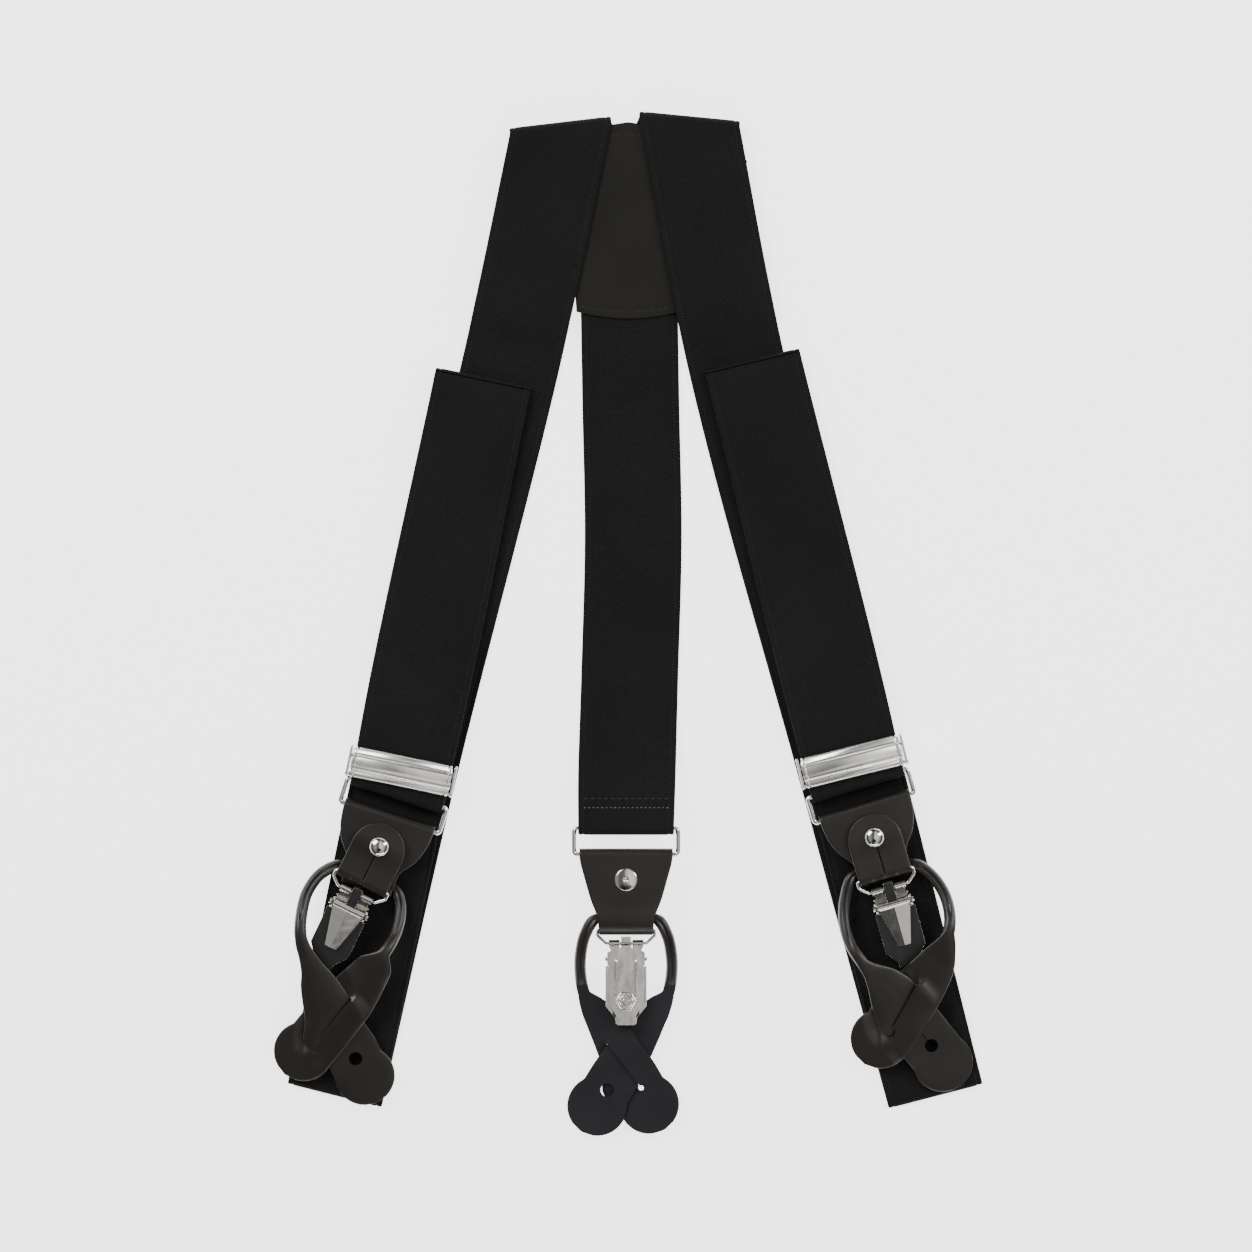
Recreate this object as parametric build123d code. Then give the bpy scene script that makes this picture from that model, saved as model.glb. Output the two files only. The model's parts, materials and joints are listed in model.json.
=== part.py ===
from build123d import *
from math import atan2, cos, degrees, hypot, radians, sin, tan
import os

# Convertible Y-back suspenders, laid flat and folded. Millimetres.
# +X is the wearer-side right of the laid-out part, +Y points to the back patch, +Z is up.
# The origin is the middle of the bounding box on the surface the suspenders lie on.

# ---- webbing ----
WEB_WIDTH = 35.0
WEB_THICK = 1.4
PLY_GAP = 0.1
PLY = WEB_THICK + PLY_GAP
CUT_SPAN = 300.0
CUT_HEIGHT = 60.0

# ---- back patch ----
LEATHER = 1.2
LINING_THICK = 1.0
PATCH_BOTTOM = 112.0
PATCH_HALF_BOTTOM = 18.6
PATCH_SIDE = (-24.5, 132.0)
PATCH_SHOULDER = (-43.0, 166.0)
PATCH_NECK = (-9.0, 178.6)
PATCH_TOP = 180.3
ARM_Z = LEATHER + 0.05
LINING_Z = ARM_Z + WEB_THICK + 0.05
OVER_PATCH_Z = LINING_Z + LINING_THICK + 0.3
ARM_END_Y = 130.0
ARM_BEFORE_FOLD = 30.0
ARM_AFTER_FOLD = 60.0
ARMS_APART = 0.15
RUN_OVERSHOOT = 0.2
UP_OVERSHOOT = 0.1
PATCH_STEP = (111.0, 100.0)

# ---- ring, yoke, flap and bail ----
RING_WIRE = 0.9
RING_HALF_WIDTH = 18.7
RING_SPAN = 9.4
RING_CORNER = 1.3
WRAP_GAP = 0.1
WRAP_WIDTH = WEB_WIDTH - 0.6
WRAP_RUN = 5.0
END_RAMP = (18.0, 75.0)
TAIL_END_Y = -58.0
YOKE_TOP_HALF = 16.8
YOKE_LOW_HALF = 9.7
YOKE_SEAM = 1.4
STUD_NECK = 1.5
STUD_HEAD = 3.5
STUD_CAP = 4.1
FLAP_HALF_WIDTH = 9.2
FLAP_LEATHER = 1.1
FLAP_ABOVE_STUD = 8.4
BAIL_WIRE = 0.6
BAIL_HALF_TOP = 10.3
BAIL_HALF_LOW = 7.2
BAIL_SHOULDER = 2.2
BAIL_DROP = 5.0

# ---- rolled loop and button tabs ----
CORD_RADIUS = 2.2
BRIDGE_RADIUS = 1.0
BRIDGE_DROP = 23.5
TAB_LEATHER = 1.2
TAB_GAP = 0.1
EAR_RADIUS = 10.8
STRIP_HALF_NEAR = 5.2
STRIP_HALF_FAR = 8.2
HOLE_RADIUS = 2.4
STRIP_LEVEL = 6.0
SLOPE_HINGE_Y = -57.0
SLOPE_RUN = 8.0
CORD_LEVELS = [0.0, 0.2, 1.6, 3.8]

# ---- clip ----
CLIP_SHEET = 0.8
CLIP_LENGTH = 30.0
PIN_RADIUS = 0.75
PIN_HALF = 7.15
PIN_DROP = 5.4
PIN_LEVEL = 3.9
JAW_LEVEL = 1.3
LEVER_LENGTH = 15.4
KNUCKLE_RADIUS = 1.25
PAD_Y = -22.2
RIVET_Y = -21.0
RIVET_RADIUS = 1.3
PAD_FOOT = -0.6

# ---- slide adjuster ----
COVER_HALF = 16.6
COVER_HEIGHT = 10.0
CHEEK_INNER = 18.7
CHEEK_OUTER = 19.5
COVER_LEVEL = 2.7
HINGE_LEVEL = 3.5
HINGE_PIN_RADIUS = 0.6
BARREL_HALF = 18.4
RIDGE_OFFSET = 2.6
RIDGE_RADIUS = 0.55
REAR_BAR_RADIUS = 0.7
REAR_BAR_Y = 1.6
ADJUSTER_ABOVE_RING = 8.4

# ---- front ends and back end, laid out ----
FRONT_RING_Z = 2 * PLY + 3.2
BACK_RING_Z = 9.3

FRONT_STRAPS = {
    "left": {
        "arm_angle": -24.9,
        "top_fold": (-24.5, 180.2, 6.7),
        "down_run": [(-24.5, 180.2), (-37.1, 116.0), (-82.5, -67.5), (-105.8, -170.5)],
        "bottom_fold": (-105.8, -170.5, -14.2),
        "upper_fold": (-52.0, 88.4, -11.8),
        "ring_top": (-83.1, -61.3),
    },
    "right": {
        "arm_angle": 21.5,
        "top_fold": (22.3, 182.4, -5.5),
        "down_run": [(22.3, 182.4), (34.9, 112.7), (80.6, -59.6), (110.9, -170.8)],
        "bottom_fold": (110.9, -170.8, 14.6),
        "upper_fold": (44.6, 94.8, 13.4),
        "ring_top": (82.4, -57.8),
    },
}

ENDS = {
    "left": {
        "bar": (-85.9, -70.2, FRONT_RING_Z), "tilt": -18.0, "face_down": False,
        "stud_drop": 10.8, "flap_drop": 14.0, "yoke_length": 26.8, "flap_turn": -8.0, "pitch": 9.0,
        "left_cord": [(-12.6, -23.5), (-17.2, -27.0), (-19.6, -34.0), (-19.2, -42.0), (-16.6, -50.5)],
        "right_cord": [(12.6, -23.5), (13.4, -28.0), (14.5, -33.5), (15.0, -40.0), (13.4, -46.5)],
        "under_ear": (20.3, -90.9), "over_ear": (-3.3, -89.4), "button_hole": (15.3, -86.1),
        "tab_slope": 9.0,
    },
    "right": {
        "bar": (85.2, -66.8, FRONT_RING_Z), "tilt": 17.0, "face_down": False,
        "stud_drop": 10.8, "flap_drop": 14.0, "yoke_length": 26.8, "flap_turn": -1.0, "pitch": 9.0,
        "left_cord": [(-12.6, -23.5), (-16.8, -30.0), (-19.0, -37.0), (-19.4, -44.5), (-17.2, -52.5)],
        "right_cord": [(12.6, -23.5), (16.2, -31.0), (18.2, -38.0), (18.0, -44.5), (15.6, -51.0)],
        "under_ear": (0.2, -95.7), "over_ear": (-18.9, -80.8), "button_hole": (-2.1, -88.6),
        "tab_slope": 9.0,
    },
    "back": {
        "bar": (-0.7, -83.3, BACK_RING_Z), "tilt": 0.0, "face_down": True,
        "stud_drop": 9.0, "flap_drop": 18.2, "yoke_length": 28.8, "flap_turn": 0.0, "pitch": 6.0,
        "left_cord": [(-12.6, -23.5), (-15.0, -29.4), (-16.3, -36.0), (-16.4, -43.0), (-15.2, -50.0)],
        "right_cord": [(12.6, -23.5), (15.0, -29.4), (16.3, -36.0), (16.4, -43.0), (15.2, -50.0)],
        "under_ear": (10.4, -90.7), "over_ear": (-8.3, -90.0), "button_hole": (6.8, -85.0),
        "tab_slope": 0.0,
    },
}


def direction(angle):
    """Unit vector that points down (-Y) and is turned by angle about +Z."""
    return sin(radians(angle)), -cos(radians(angle))


def band_outline(points, half_width):
    """Plan outline of a band of constant width along a bent centre line."""
    left_side = []
    right_side = []
    for index, point in enumerate(points):
        before = points[max(index - 1, 0)]
        after = points[min(index + 1, len(points) - 1)]
        angle = atan2(after[1] - before[1], after[0] - before[0])
        side = (-sin(angle) * half_width, cos(angle) * half_width)
        left_side.append((point[0] + side[0], point[1] + side[1]))
        right_side.append((point[0] - side[0], point[1] - side[1]))
    return left_side + right_side[::-1]


def plan_prism(outline):
    """A tall block with the given plan outline, for cutting a sheet to shape."""
    face = make_face(Polyline(*outline, close=True))
    return Pos(0, 0, -CUT_HEIGHT / 2) * extrude(face, CUT_HEIGHT)


def level_sheet(bottom):
    """A flat sheet of webbing, larger than the part, with its underside at bottom."""
    return Pos(0, 0, bottom + WEB_THICK / 2) * Box(2 * CUT_SPAN, 2 * CUT_SPAN, WEB_THICK)


def side_slab(profile, thickness, half_span=CUT_SPAN):
    """A sheet whose underside follows the (y, z) profile, wide along X."""
    upper = [(y, z + thickness) for y, z in profile]
    outline = profile + upper[::-1]
    section = make_face(Plane.YZ * Polyline(*outline, close=True))
    return Pos(-half_span, 0, 0) * extrude(section, 2 * half_span, dir=(1, 0, 0))


def half_plane(point, angle):
    """A large block on one side of a line through point, turned by angle."""
    block = Pos(0, CUT_SPAN / 2, 0) * Box(2 * CUT_SPAN, CUT_SPAN, CUT_HEIGHT)
    return Pos(point[0], point[1], 0) * Rot(0, 0, angle) * block


def fold_shell(fold, low, high, opens_down, half_width):
    """Half a tube that joins two plies at a fold. Its outside touches the fold line."""
    outer = (high - low) / 2
    inner = outer - WEB_THICK
    tube = Rot(0, 90, 0) * (Cylinder(outer, 2 * half_width) - Cylinder(inner, 2 * half_width))
    keep = Pos(0, outer, 0) * Box(3 * half_width, 2 * outer, 3 * outer)
    shell = tube & keep
    turn = fold[2] if opens_down else fold[2] + 180
    inward = direction(turn)
    middle = (fold[0] + inward[0] * outer, fold[1] + inward[1] * outer, (low + high) / 2)
    return Pos(*middle) * Rot(0, 0, turn) * shell


def ends_trimmed(band, fold, radius, opens_down):
    """Cuts a ply back to where its fold's half tube begins."""
    turn = fold[2] if opens_down else fold[2] + 180
    inward = direction(turn)
    start = (fold[0] + inward[0] * radius, fold[1] + inward[1] * radius)
    return band - half_plane(start, turn)


def beyond(start, finish, share):
    """The point that lies past finish by a share of the run from start to finish."""
    return (finish[0] + share * (finish[0] - start[0]), finish[1] + share * (finish[1] - start[1]))


def front_strap(spec):
    """Arm from the patch, the run down and the run back up, with three folds."""
    top_outer = (OVER_PATCH_Z + WEB_THICK - ARM_Z) / 2
    low_outer = PLY - PLY_GAP / 2
    half = WEB_WIDTH / 2
    side = -1 if spec["arm_angle"] < 0 else 1

    fold_x, fold_y = spec["top_fold"][:2]
    lean = direction(-spec["arm_angle"])
    arm_line = [
        (fold_x - ARM_BEFORE_FOLD * lean[0], fold_y - ARM_BEFORE_FOLD * lean[1]),
        (fold_x + ARM_AFTER_FOLD * lean[0], fold_y + ARM_AFTER_FOLD * lean[1]),
    ]
    arm = plan_prism(band_outline(arm_line, half)) & level_sheet(ARM_Z)
    arm = ends_trimmed(arm, spec["top_fold"], top_outer, True)
    own_side = Pos(side * (CUT_SPAN / 2 + ARMS_APART), ARM_END_Y + CUT_SPAN / 2, 0)
    arm = arm & (own_side * Box(CUT_SPAN, CUT_SPAN, CUT_HEIGHT))

    run = spec["down_run"]
    start = beyond(run[1], run[0], RUN_OVERSHOOT)
    finish = beyond(run[2], run[3], RUN_OVERSHOOT)
    step_top, step_foot = PATCH_STEP
    drop = [(CUT_SPAN, OVER_PATCH_Z), (step_top, OVER_PATCH_Z), (step_foot, 0.0), (-CUT_SPAN, 0.0)]
    down = plan_prism(band_outline([start] + run[1:3] + [finish], half)) & side_slab(drop, WEB_THICK)
    down = ends_trimmed(down, spec["top_fold"], top_outer, True)
    down = ends_trimmed(down, spec["bottom_fold"], low_outer, False)

    low = spec["bottom_fold"][:2]
    high = spec["upper_fold"][:2]
    up_line = [beyond(high, low, UP_OVERSHOOT), beyond(low, high, UP_OVERSHOOT)]
    up = plan_prism(band_outline(up_line, half)) & level_sheet(PLY)
    up = ends_trimmed(up, spec["bottom_fold"], low_outer, False)
    up = ends_trimmed(up, spec["upper_fold"], low_outer, True)

    top_width = half / cos(radians(spec["arm_angle"]))
    strap = arm + fold_shell(spec["top_fold"], ARM_Z, OVER_PATCH_Z + WEB_THICK, True, top_width)
    strap = strap + down
    strap = strap + fold_shell(spec["bottom_fold"], 0, PLY + WEB_THICK, False, half)
    strap = strap + up
    strap = strap + fold_shell(spec["upper_fold"], PLY, 2 * PLY + WEB_THICK, True, half)
    return strap


def strap_end(spec, end):
    """The top run from the upper fold to the ring, round its bar and back to the adjuster."""
    ring_z = end["bar"][2]
    top = spec["ring_top"]
    fold = spec["upper_fold"]
    low_outer = PLY - PLY_GAP / 2
    half = WEB_WIDTH / 2
    reach = hypot(fold[0] - top[0], fold[1] - top[1])
    lean = degrees(atan2(top[0] - fold[0], fold[1] - top[1]))
    under = ring_z + RING_WIRE + WRAP_GAP
    rest = 2 * PLY
    ramp_start, ramp_end = END_RAMP
    profile = [(0, under), (ramp_start, under), (ramp_end, rest), (reach + WEB_WIDTH, rest)]
    blank = side_slab(profile, WEB_THICK, half)
    run = Pos(top[0], top[1], 0) * Rot(0, 0, lean) * blank
    run = ends_trimmed(run, fold, low_outer, True)

    outer = RING_WIRE + WRAP_GAP + WEB_THICK
    wrap = Rot(0, 90, 0) * (Cylinder(outer, WRAP_WIDTH) - Cylinder(outer - WEB_THICK, WRAP_WIDTH))
    wrap = wrap & (Pos(0, -outer, 0) * Box(2 * WEB_WIDTH, 2 * outer, 3 * outer))
    upper = Pos(0, WRAP_RUN / 2, outer - WEB_THICK / 2) * Box(WRAP_WIDTH, WRAP_RUN, WEB_THICK)
    back_length = ADJUSTER_ABOVE_RING + 2.6
    under_ply = Pos(0, back_length / 2, -outer + WEB_THICK / 2) * Box(WRAP_WIDTH, back_length, WEB_THICK)
    wrap = wrap + upper + under_ply
    return run + Pos(top[0], top[1], ring_z) * Rot(0, 0, end["tilt"]) * wrap


def back_strap(end):
    """Centre strap from the patch to the back ring, with its sewn tail under it."""
    x, y, ring_z = end["bar"]
    top_y = y + RING_SPAN
    half = WEB_WIDTH / 2
    gap = RING_WIRE + WRAP_GAP
    line = [(x + 0.2, top_y), (0.6, -20.0), (1.9, 30.0), (1.0, 80.0), (0.2, 129.5)]
    profile = [(top_y, ring_z + gap), (-66.0, 9.0), (-52.0, 5.0), (-28.0, 0.0),
               (88.0, 0.0), (104.0, ARM_Z), (129.5, ARM_Z)]
    strap = plan_prism(band_outline(line, half)) & side_slab(profile, WEB_THICK)
    tail_line = [(x + 0.2, top_y), (x + 0.4, TAIL_END_Y)]
    tail_profile = [(top_y, ring_z - gap - WEB_THICK), (-66.0, 7.45), (TAIL_END_Y, 5.2)]
    strap = strap + (plan_prism(band_outline(tail_line, half)) & side_slab(tail_profile, WEB_THICK))
    outer = gap + WEB_THICK
    wrap = Rot(0, 90, 0) * (Cylinder(outer, WRAP_WIDTH) - Cylinder(gap, WRAP_WIDTH))
    wrap = wrap & (Pos(0, -outer, 0) * Box(2 * WEB_WIDTH, 2 * outer, 3 * outer))
    return strap + Pos(x + 0.2, top_y, ring_z) * wrap


def patch_plate(thickness):
    """Y-patch outline: a convex lower edge, waisted sides and a shallow pointed top."""
    half = PATCH_HALF_BOTTOM
    lower = ThreePointArc((-half, PATCH_BOTTOM), (0, PATCH_BOTTOM - 2.6), (half, PATCH_BOTTOM))
    mirror_of = [(-point[0], point[1]) for point in (PATCH_SIDE, PATCH_SHOULDER, PATCH_NECK)]
    right = Polyline((half, PATCH_BOTTOM), *mirror_of, (0, PATCH_TOP))
    left = Polyline((0, PATCH_TOP), PATCH_NECK, PATCH_SHOULDER, PATCH_SIDE, (-half, PATCH_BOTTOM))
    return extrude(make_face(lower + right + left), thickness)


# ---- places ----

def end_place(end):
    place = Pos(*end["bar"]) * Rot(0, 0, end["tilt"])
    if end["face_down"]:
        place = place * Rot(0, 180, 0)
    return place


def flap_place(end):
    return end_place(end) * Pos(0, -end["stud_drop"], 0) * Rot(0, 0, end["flap_turn"])


def bail_place(end):
    level = flap_levels()["wire"]
    return flap_place(end) * Pos(0, -end["flap_drop"], level) * Rot(end["pitch"], 0, 0)


def clip_place(end):
    return bail_place(end) * Pos(0, -BAIL_DROP, 0)


def flap_levels():
    """Heights of the flap's plies above the ring's middle plane."""
    yoke_face = RING_WIRE + WRAP_GAP + LEATHER + WRAP_GAP
    back = yoke_face + 0.1
    wire = back + FLAP_LEATHER + 0.05 + BAIL_WIRE
    front = wire + BAIL_WIRE + 0.05
    return {"yoke_face": yoke_face, "back": back, "wire": wire, "front": front}


# ---- ring, yoke, flap, stud and bail ----

def ring():
    width = 2 * RING_HALF_WIDTH
    outline = Pos(0, RING_SPAN / 2, 0) * RectangleRounded(width, RING_SPAN, RING_CORNER)
    path = outline.wire()
    section = Plane(origin=path @ 0, z_dir=path % 0) * Circle(RING_WIRE)
    return sweep(section, path)


def tapered_plan():
    """Yoke outline seen from the front: wide at the bar, waisted to the loop."""
    upper = 3.0
    points = [(-YOKE_TOP_HALF, upper), (YOKE_TOP_HALF, upper), (YOKE_TOP_HALF - 0.2, -2.0), (15.2, -7.6),
              (12.6, -16.6), (10.4, -22.4), (YOKE_LOW_HALF, -29.0)]
    points += [(-x, y) for x, y in points[:1:-1]]
    return plan_prism(points)


def yoke(end):
    inner = RING_WIRE + WRAP_GAP
    outer = inner + LEATHER
    wide = 2 * YOKE_TOP_HALF + 4
    tube = Rot(0, 90, 0) * (Cylinder(outer, wide) - Cylinder(inner, wide))
    fold = tube & (Pos(0, outer, 0) * Box(2 * wide, 2 * outer, 3 * outer))
    length = end["yoke_length"]
    front = Pos(0, -length / 2, inner + LEATHER / 2) * Box(wide, length, LEATHER)
    rear = Pos(0, -length / 2, -inner - LEATHER / 2) * Box(wide, length, LEATHER)
    seam = Pos(0, -length + YOKE_SEAM / 2, 0) * Box(wide, YOKE_SEAM, 2 * outer)
    leather = (fold + front + rear + seam) & tapered_plan()
    return leather - Pos(0, -end["stud_drop"], 0) * Cylinder(STUD_NECK + 0.05, 20)


def clip_flap(end):
    levels = flap_levels()
    drop = end["flap_drop"]
    length = drop + FLAP_ABOVE_STUD
    middle = (FLAP_ABOVE_STUD - drop) / 2
    outer = BAIL_WIRE + 0.05 + FLAP_LEATHER
    wide = 2 * FLAP_HALF_WIDTH
    tube = Rot(0, 90, 0) * (Cylinder(outer, wide) - Cylinder(outer - FLAP_LEATHER, wide))
    fold = Pos(0, -drop, levels["wire"]) * (tube & (Pos(0, -outer, 0) * Box(2 * wide, 2 * outer, 3 * outer)))
    back = Pos(0, middle, levels["back"] + FLAP_LEATHER / 2) * Box(wide, length, FLAP_LEATHER)
    front = Pos(0, middle, levels["front"] + FLAP_LEATHER / 2) * Box(wide, length, FLAP_LEATHER)
    slit = Pos(0, -drop / 2, levels["front"]) * Box(0.4, drop, 4)
    round_top = Pos(0, FLAP_ABOVE_STUD - FLAP_HALF_WIDTH, 0) * Cylinder(FLAP_HALF_WIDTH, 40)
    lower = Pos(0, FLAP_ABOVE_STUD - FLAP_HALF_WIDTH - 25, 0) * Box(wide, 50, 40)
    leather = (fold + back + (front - slit)) & (round_top + lower)
    return leather - Cylinder(STUD_NECK + 0.3, 40)


def stud():
    levels = flap_levels()
    seat = levels["front"] + FLAP_LEATHER + 0.05
    foot = -(RING_WIRE + WRAP_GAP + LEATHER)
    head_height = 2.5
    neck = Pos(0, 0, (foot + seat + 0.2) / 2) * Cylinder(STUD_NECK, seat - foot + 0.2)
    head = Cylinder(STUD_HEAD, head_height)
    head = fillet(head.edges().group_by(Axis.Z)[-1], 1.7)
    head = fillet(head.edges().group_by(Axis.Z)[0], 0.5)
    return neck + Pos(0, 0, seat + head_height / 2) * head


def stud_cap():
    top = -(RING_WIRE + WRAP_GAP + LEATHER) - 0.02
    rim = 0.25
    depth = 0.75
    edge = Polyline((0, top), (STUD_CAP, top), (STUD_CAP, top - rim))
    dome = ThreePointArc((STUD_CAP, top - rim), (STUD_CAP * 0.7, top - 0.62), (1.0, top - depth))
    dimple = Polyline((1.0, top - depth), (0.6, top - 0.4), (0, top - 0.4), (0, top))
    return revolve(make_face(Plane.XZ * (edge + dome + dimple)), Axis.Z)


def bail():
    right = [(BAIL_HALF_TOP, 0), (BAIL_HALF_TOP, -BAIL_SHOULDER), (BAIL_HALF_LOW, -BAIL_DROP)]
    left = [(-x, y) for x, y in right[::-1]]
    path = FilletPolyline(*(right + left), radius=0.9, close=True)
    path = Wire(path.edges())
    section = Plane(origin=path @ 0, z_dir=path % 0) * Circle(BAIL_WIRE)
    return sweep(section, path)


# ---- rolled loop with button tabs ----

def tab_tilt(end):
    """Location that lays the tabs' plane on its slope, hinged above the clip's tip."""
    level = STRIP_LEVEL - TAB_LEATHER
    return Pos(0, SLOPE_HINGE_Y, level) * Rot(end["tab_slope"], 0, 0) * Pos(0, -SLOPE_HINGE_Y, 0)


def cord_side(points, tilt_height):
    """One side of the rolled loop: it leaves the yoke and rises to the tabs."""
    levels = CORD_LEVELS + [tilt_height]
    route = [(x, y, z) for (x, y), z in zip(points, levels)]
    piece = Pos(*route[0]) * Sphere(CORD_RADIUS)
    for start, finish in zip(route[:-1], route[1:]):
        span = Vector(*finish) - Vector(*start)
        rod = Plane(origin=start, z_dir=span) * extrude(Circle(CORD_RADIUS), span.length)
        piece = piece + rod + Pos(*finish) * Sphere(CORD_RADIUS)
    return piece


def tab(start, ear, thickness):
    """A strip that widens from the cord's end to a round ear."""
    angle = atan2(ear[1] - start[1], ear[0] - start[0])
    side = (-sin(angle), cos(angle))
    near = STRIP_HALF_NEAR
    far = STRIP_HALF_FAR
    outline = [(start[0] + side[0] * near, start[1] + side[1] * near),
               (ear[0] + side[0] * far, ear[1] + side[1] * far),
               (ear[0] - side[0] * far, ear[1] - side[1] * far),
               (start[0] - side[0] * near, start[1] - side[1] * near)]
    plate = make_face(Polyline(*outline, close=True))
    return extrude(plate + Pos(*ear) * Circle(EAR_RADIUS), thickness)


def button_loop(end):
    lay = tab_tilt(end)
    rise = tan(radians(end["tab_slope"])) * SLOPE_RUN
    height = STRIP_LEVEL + rise + TAB_LEATHER / 2
    under = tab(end["left_cord"][-1], end["under_ear"], TAB_LEATHER)
    over = Pos(0, 0, TAB_LEATHER + TAB_GAP) * tab(end["right_cord"][-1], end["over_ear"], TAB_LEATHER)
    tabs = lay * (under + over)
    bridge = Pos(0, -BRIDGE_DROP, 0) * Rot(0, 90, 0) * Cylinder(BRIDGE_RADIUS, 24.4)
    loop = bridge + cord_side(end["left_cord"], height) + cord_side(end["right_cord"], height)
    loop = loop + tabs
    bore = lay * (Pos(*end["button_hole"], 0) * Cylinder(HOLE_RADIUS, 20))
    return loop - bore


# ---- clip ----

def clip_back_plate():
    sheet = CLIP_SHEET
    face = -BAIL_WIRE - 0.05 - sheet
    outline = [(6.2, -1.0), (5.5, -2.6), (6.8, -3.4), (6.8, -7.6), (5.7, -9.0), (6.0, -22.2),
               (3.6, -26.0), (3.0, -CLIP_LENGTH + 0.6)]
    outline = outline + [(-x, y) for x, y in outline[::-1]]
    plate = extrude(Pos(0, 0, face) * make_face(Polyline(*outline, close=True)), sheet)
    curl = Rot(0, 90, 0) * (Cylinder(-face, 12.4) - Cylinder(-face - sheet, 14))
    slot = Pos(0, 0.6, 0) * Box(4.6, 4.4, 8)
    arm_height = PIN_LEVEL + 1.1 - face
    arm = Pos(6.4, -PIN_DROP, face + arm_height / 2) * Box(sheet, 4.2, arm_height)
    arm = fillet(arm.edges().filter_by(Axis.X).group_by(Axis.Z)[-1], 1.2)
    plate = plate + curl - slot + arm + mirror(arm, Plane.YZ)
    for side in (-1, 1):
        rib = Pos(side * 3.5, -12.6, face) * Box(0.9, 14.6, 0.6)
        plate = plate + fillet(rib.edges().filter_by(Axis.Z), 0.4)
    hexagon = Pos(0, RIVET_Y, face - 0.35) * extrude(RegularPolygon(3.2, 6), 0.4)
    lip = Pos(0, -CLIP_LENGTH + 1.6, face + 0.75) * Box(7.4, 1.4, 1.5)
    plate = plate + hexagon + lip
    plate = plate - Pos(0, RIVET_Y, 0) * Cylinder(RIVET_RADIUS + 0.05, 10)
    return plate - Pos(0, -PIN_DROP, PIN_LEVEL) * Rot(0, 90, 0) * Cylinder(PIN_RADIUS + 0.02, 30)


def clip_front_jaw():
    level = JAW_LEVEL
    outline = [(7.4, -8.0), (7.4, -22.4), (4.0, -26.6), (3.7, -CLIP_LENGTH + 1.0)]
    outline = outline + [(-x, y) for x, y in outline[::-1]]
    plate = extrude(Pos(0, 0, level) * make_face(Polyline(*outline, close=True)), CLIP_SHEET)
    tongue = Pos(0, -3.2, level + CLIP_SHEET / 2) * Box(3.6, 10.4, CLIP_SHEET)
    hook = Pos(0, 2.0, 0.4) * Box(3.6, 0.8, 3.4)
    teeth = Pos(0, -CLIP_LENGTH + 1.4, 1.25) * Box(7.2, 0.8, 1.7)
    for side in (-1, 1):
        plate = plate + Pos(side * 7.05, -15.6, 0.55) * Box(0.7, 12.0, 2.3)
    return plate + tongue + hook + teeth


def clip_lever():
    under = PIN_LEVEL - KNUCKLE_RADIUS
    end_y = -PIN_DROP - LEVER_LENGTH
    plan = [(5.7, -PIN_DROP), (5.4, -PIN_DROP - 3.0), (2.2, end_y)]
    plan = plan + [(-x, y) for x, y in plan[::-1]]
    roof = [(-6.0, under), (6.0, under), (6.0, under + 1.0), (0, under + 2.0), (-6.0, under + 1.0)]
    roof_block = extrude(make_face(Plane.XZ * Polyline(*roof, close=True)), 40, dir=(0, -1, 0))
    hollow = Pos(0, 0, -0.8) * roof_block
    cavity = hollow & plan_prism([(x * 0.86, y) for x, y in plan])
    behind_knuckle = Pos(0, -30 - PIN_DROP - 1.6, 0) * Box(40, 60, 40)
    plate = (roof_block & plan_prism(plan)) - (cavity & behind_knuckle)
    knuckle = Pos(0, -PIN_DROP, PIN_LEVEL) * Rot(0, 90, 0) * Cylinder(KNUCKLE_RADIUS, 11.4)
    bore = Pos(0, -PIN_DROP, PIN_LEVEL) * Rot(0, 90, 0) * Cylinder(PIN_RADIUS + 0.05, 30)
    return plate + knuckle - bore


def clip_pin():
    shaft = Cylinder(PIN_RADIUS, 2 * PIN_HALF)
    for side in (-1, 1):
        shaft = shaft + Pos(0, 0, side * (PIN_HALF + 0.15)) * Cylinder(PIN_RADIUS + 0.25, 0.5)
    return Pos(0, -PIN_DROP, PIN_LEVEL) * Rot(0, 90, 0) * shaft


def clip_pad():
    pad = Pos(0, PAD_Y, PAD_FOOT + 0.5) * Box(9.6, 8.6, 1.0)
    return fillet(pad.edges().filter_by(Axis.Z), 1.6)


def pad_rivet():
    top = PAD_FOOT - 0.02
    bottom = -BAIL_WIRE - 0.05 - CLIP_SHEET - 0.65
    return Pos(0, RIVET_Y, (top + bottom) / 2) * Cylinder(RIVET_RADIUS, top - bottom)


# ---- slide adjuster ----

def adjuster_place(spec, end):
    top = spec["ring_top"]
    fold = spec["upper_fold"]
    lean = degrees(atan2(top[0] - fold[0], fold[1] - top[1]))
    back = direction(lean)
    place = (top[0] - back[0] * ADJUSTER_ABOVE_RING, top[1] - back[1] * ADJUSTER_ABOVE_RING)
    return Pos(place[0], place[1], end["bar"][2]) * Rot(0, 0, lean)


def hinge_line():
    return Pos(0, -COVER_HEIGHT / 2, HINGE_LEVEL) * Rot(0, 90, 0)


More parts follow.
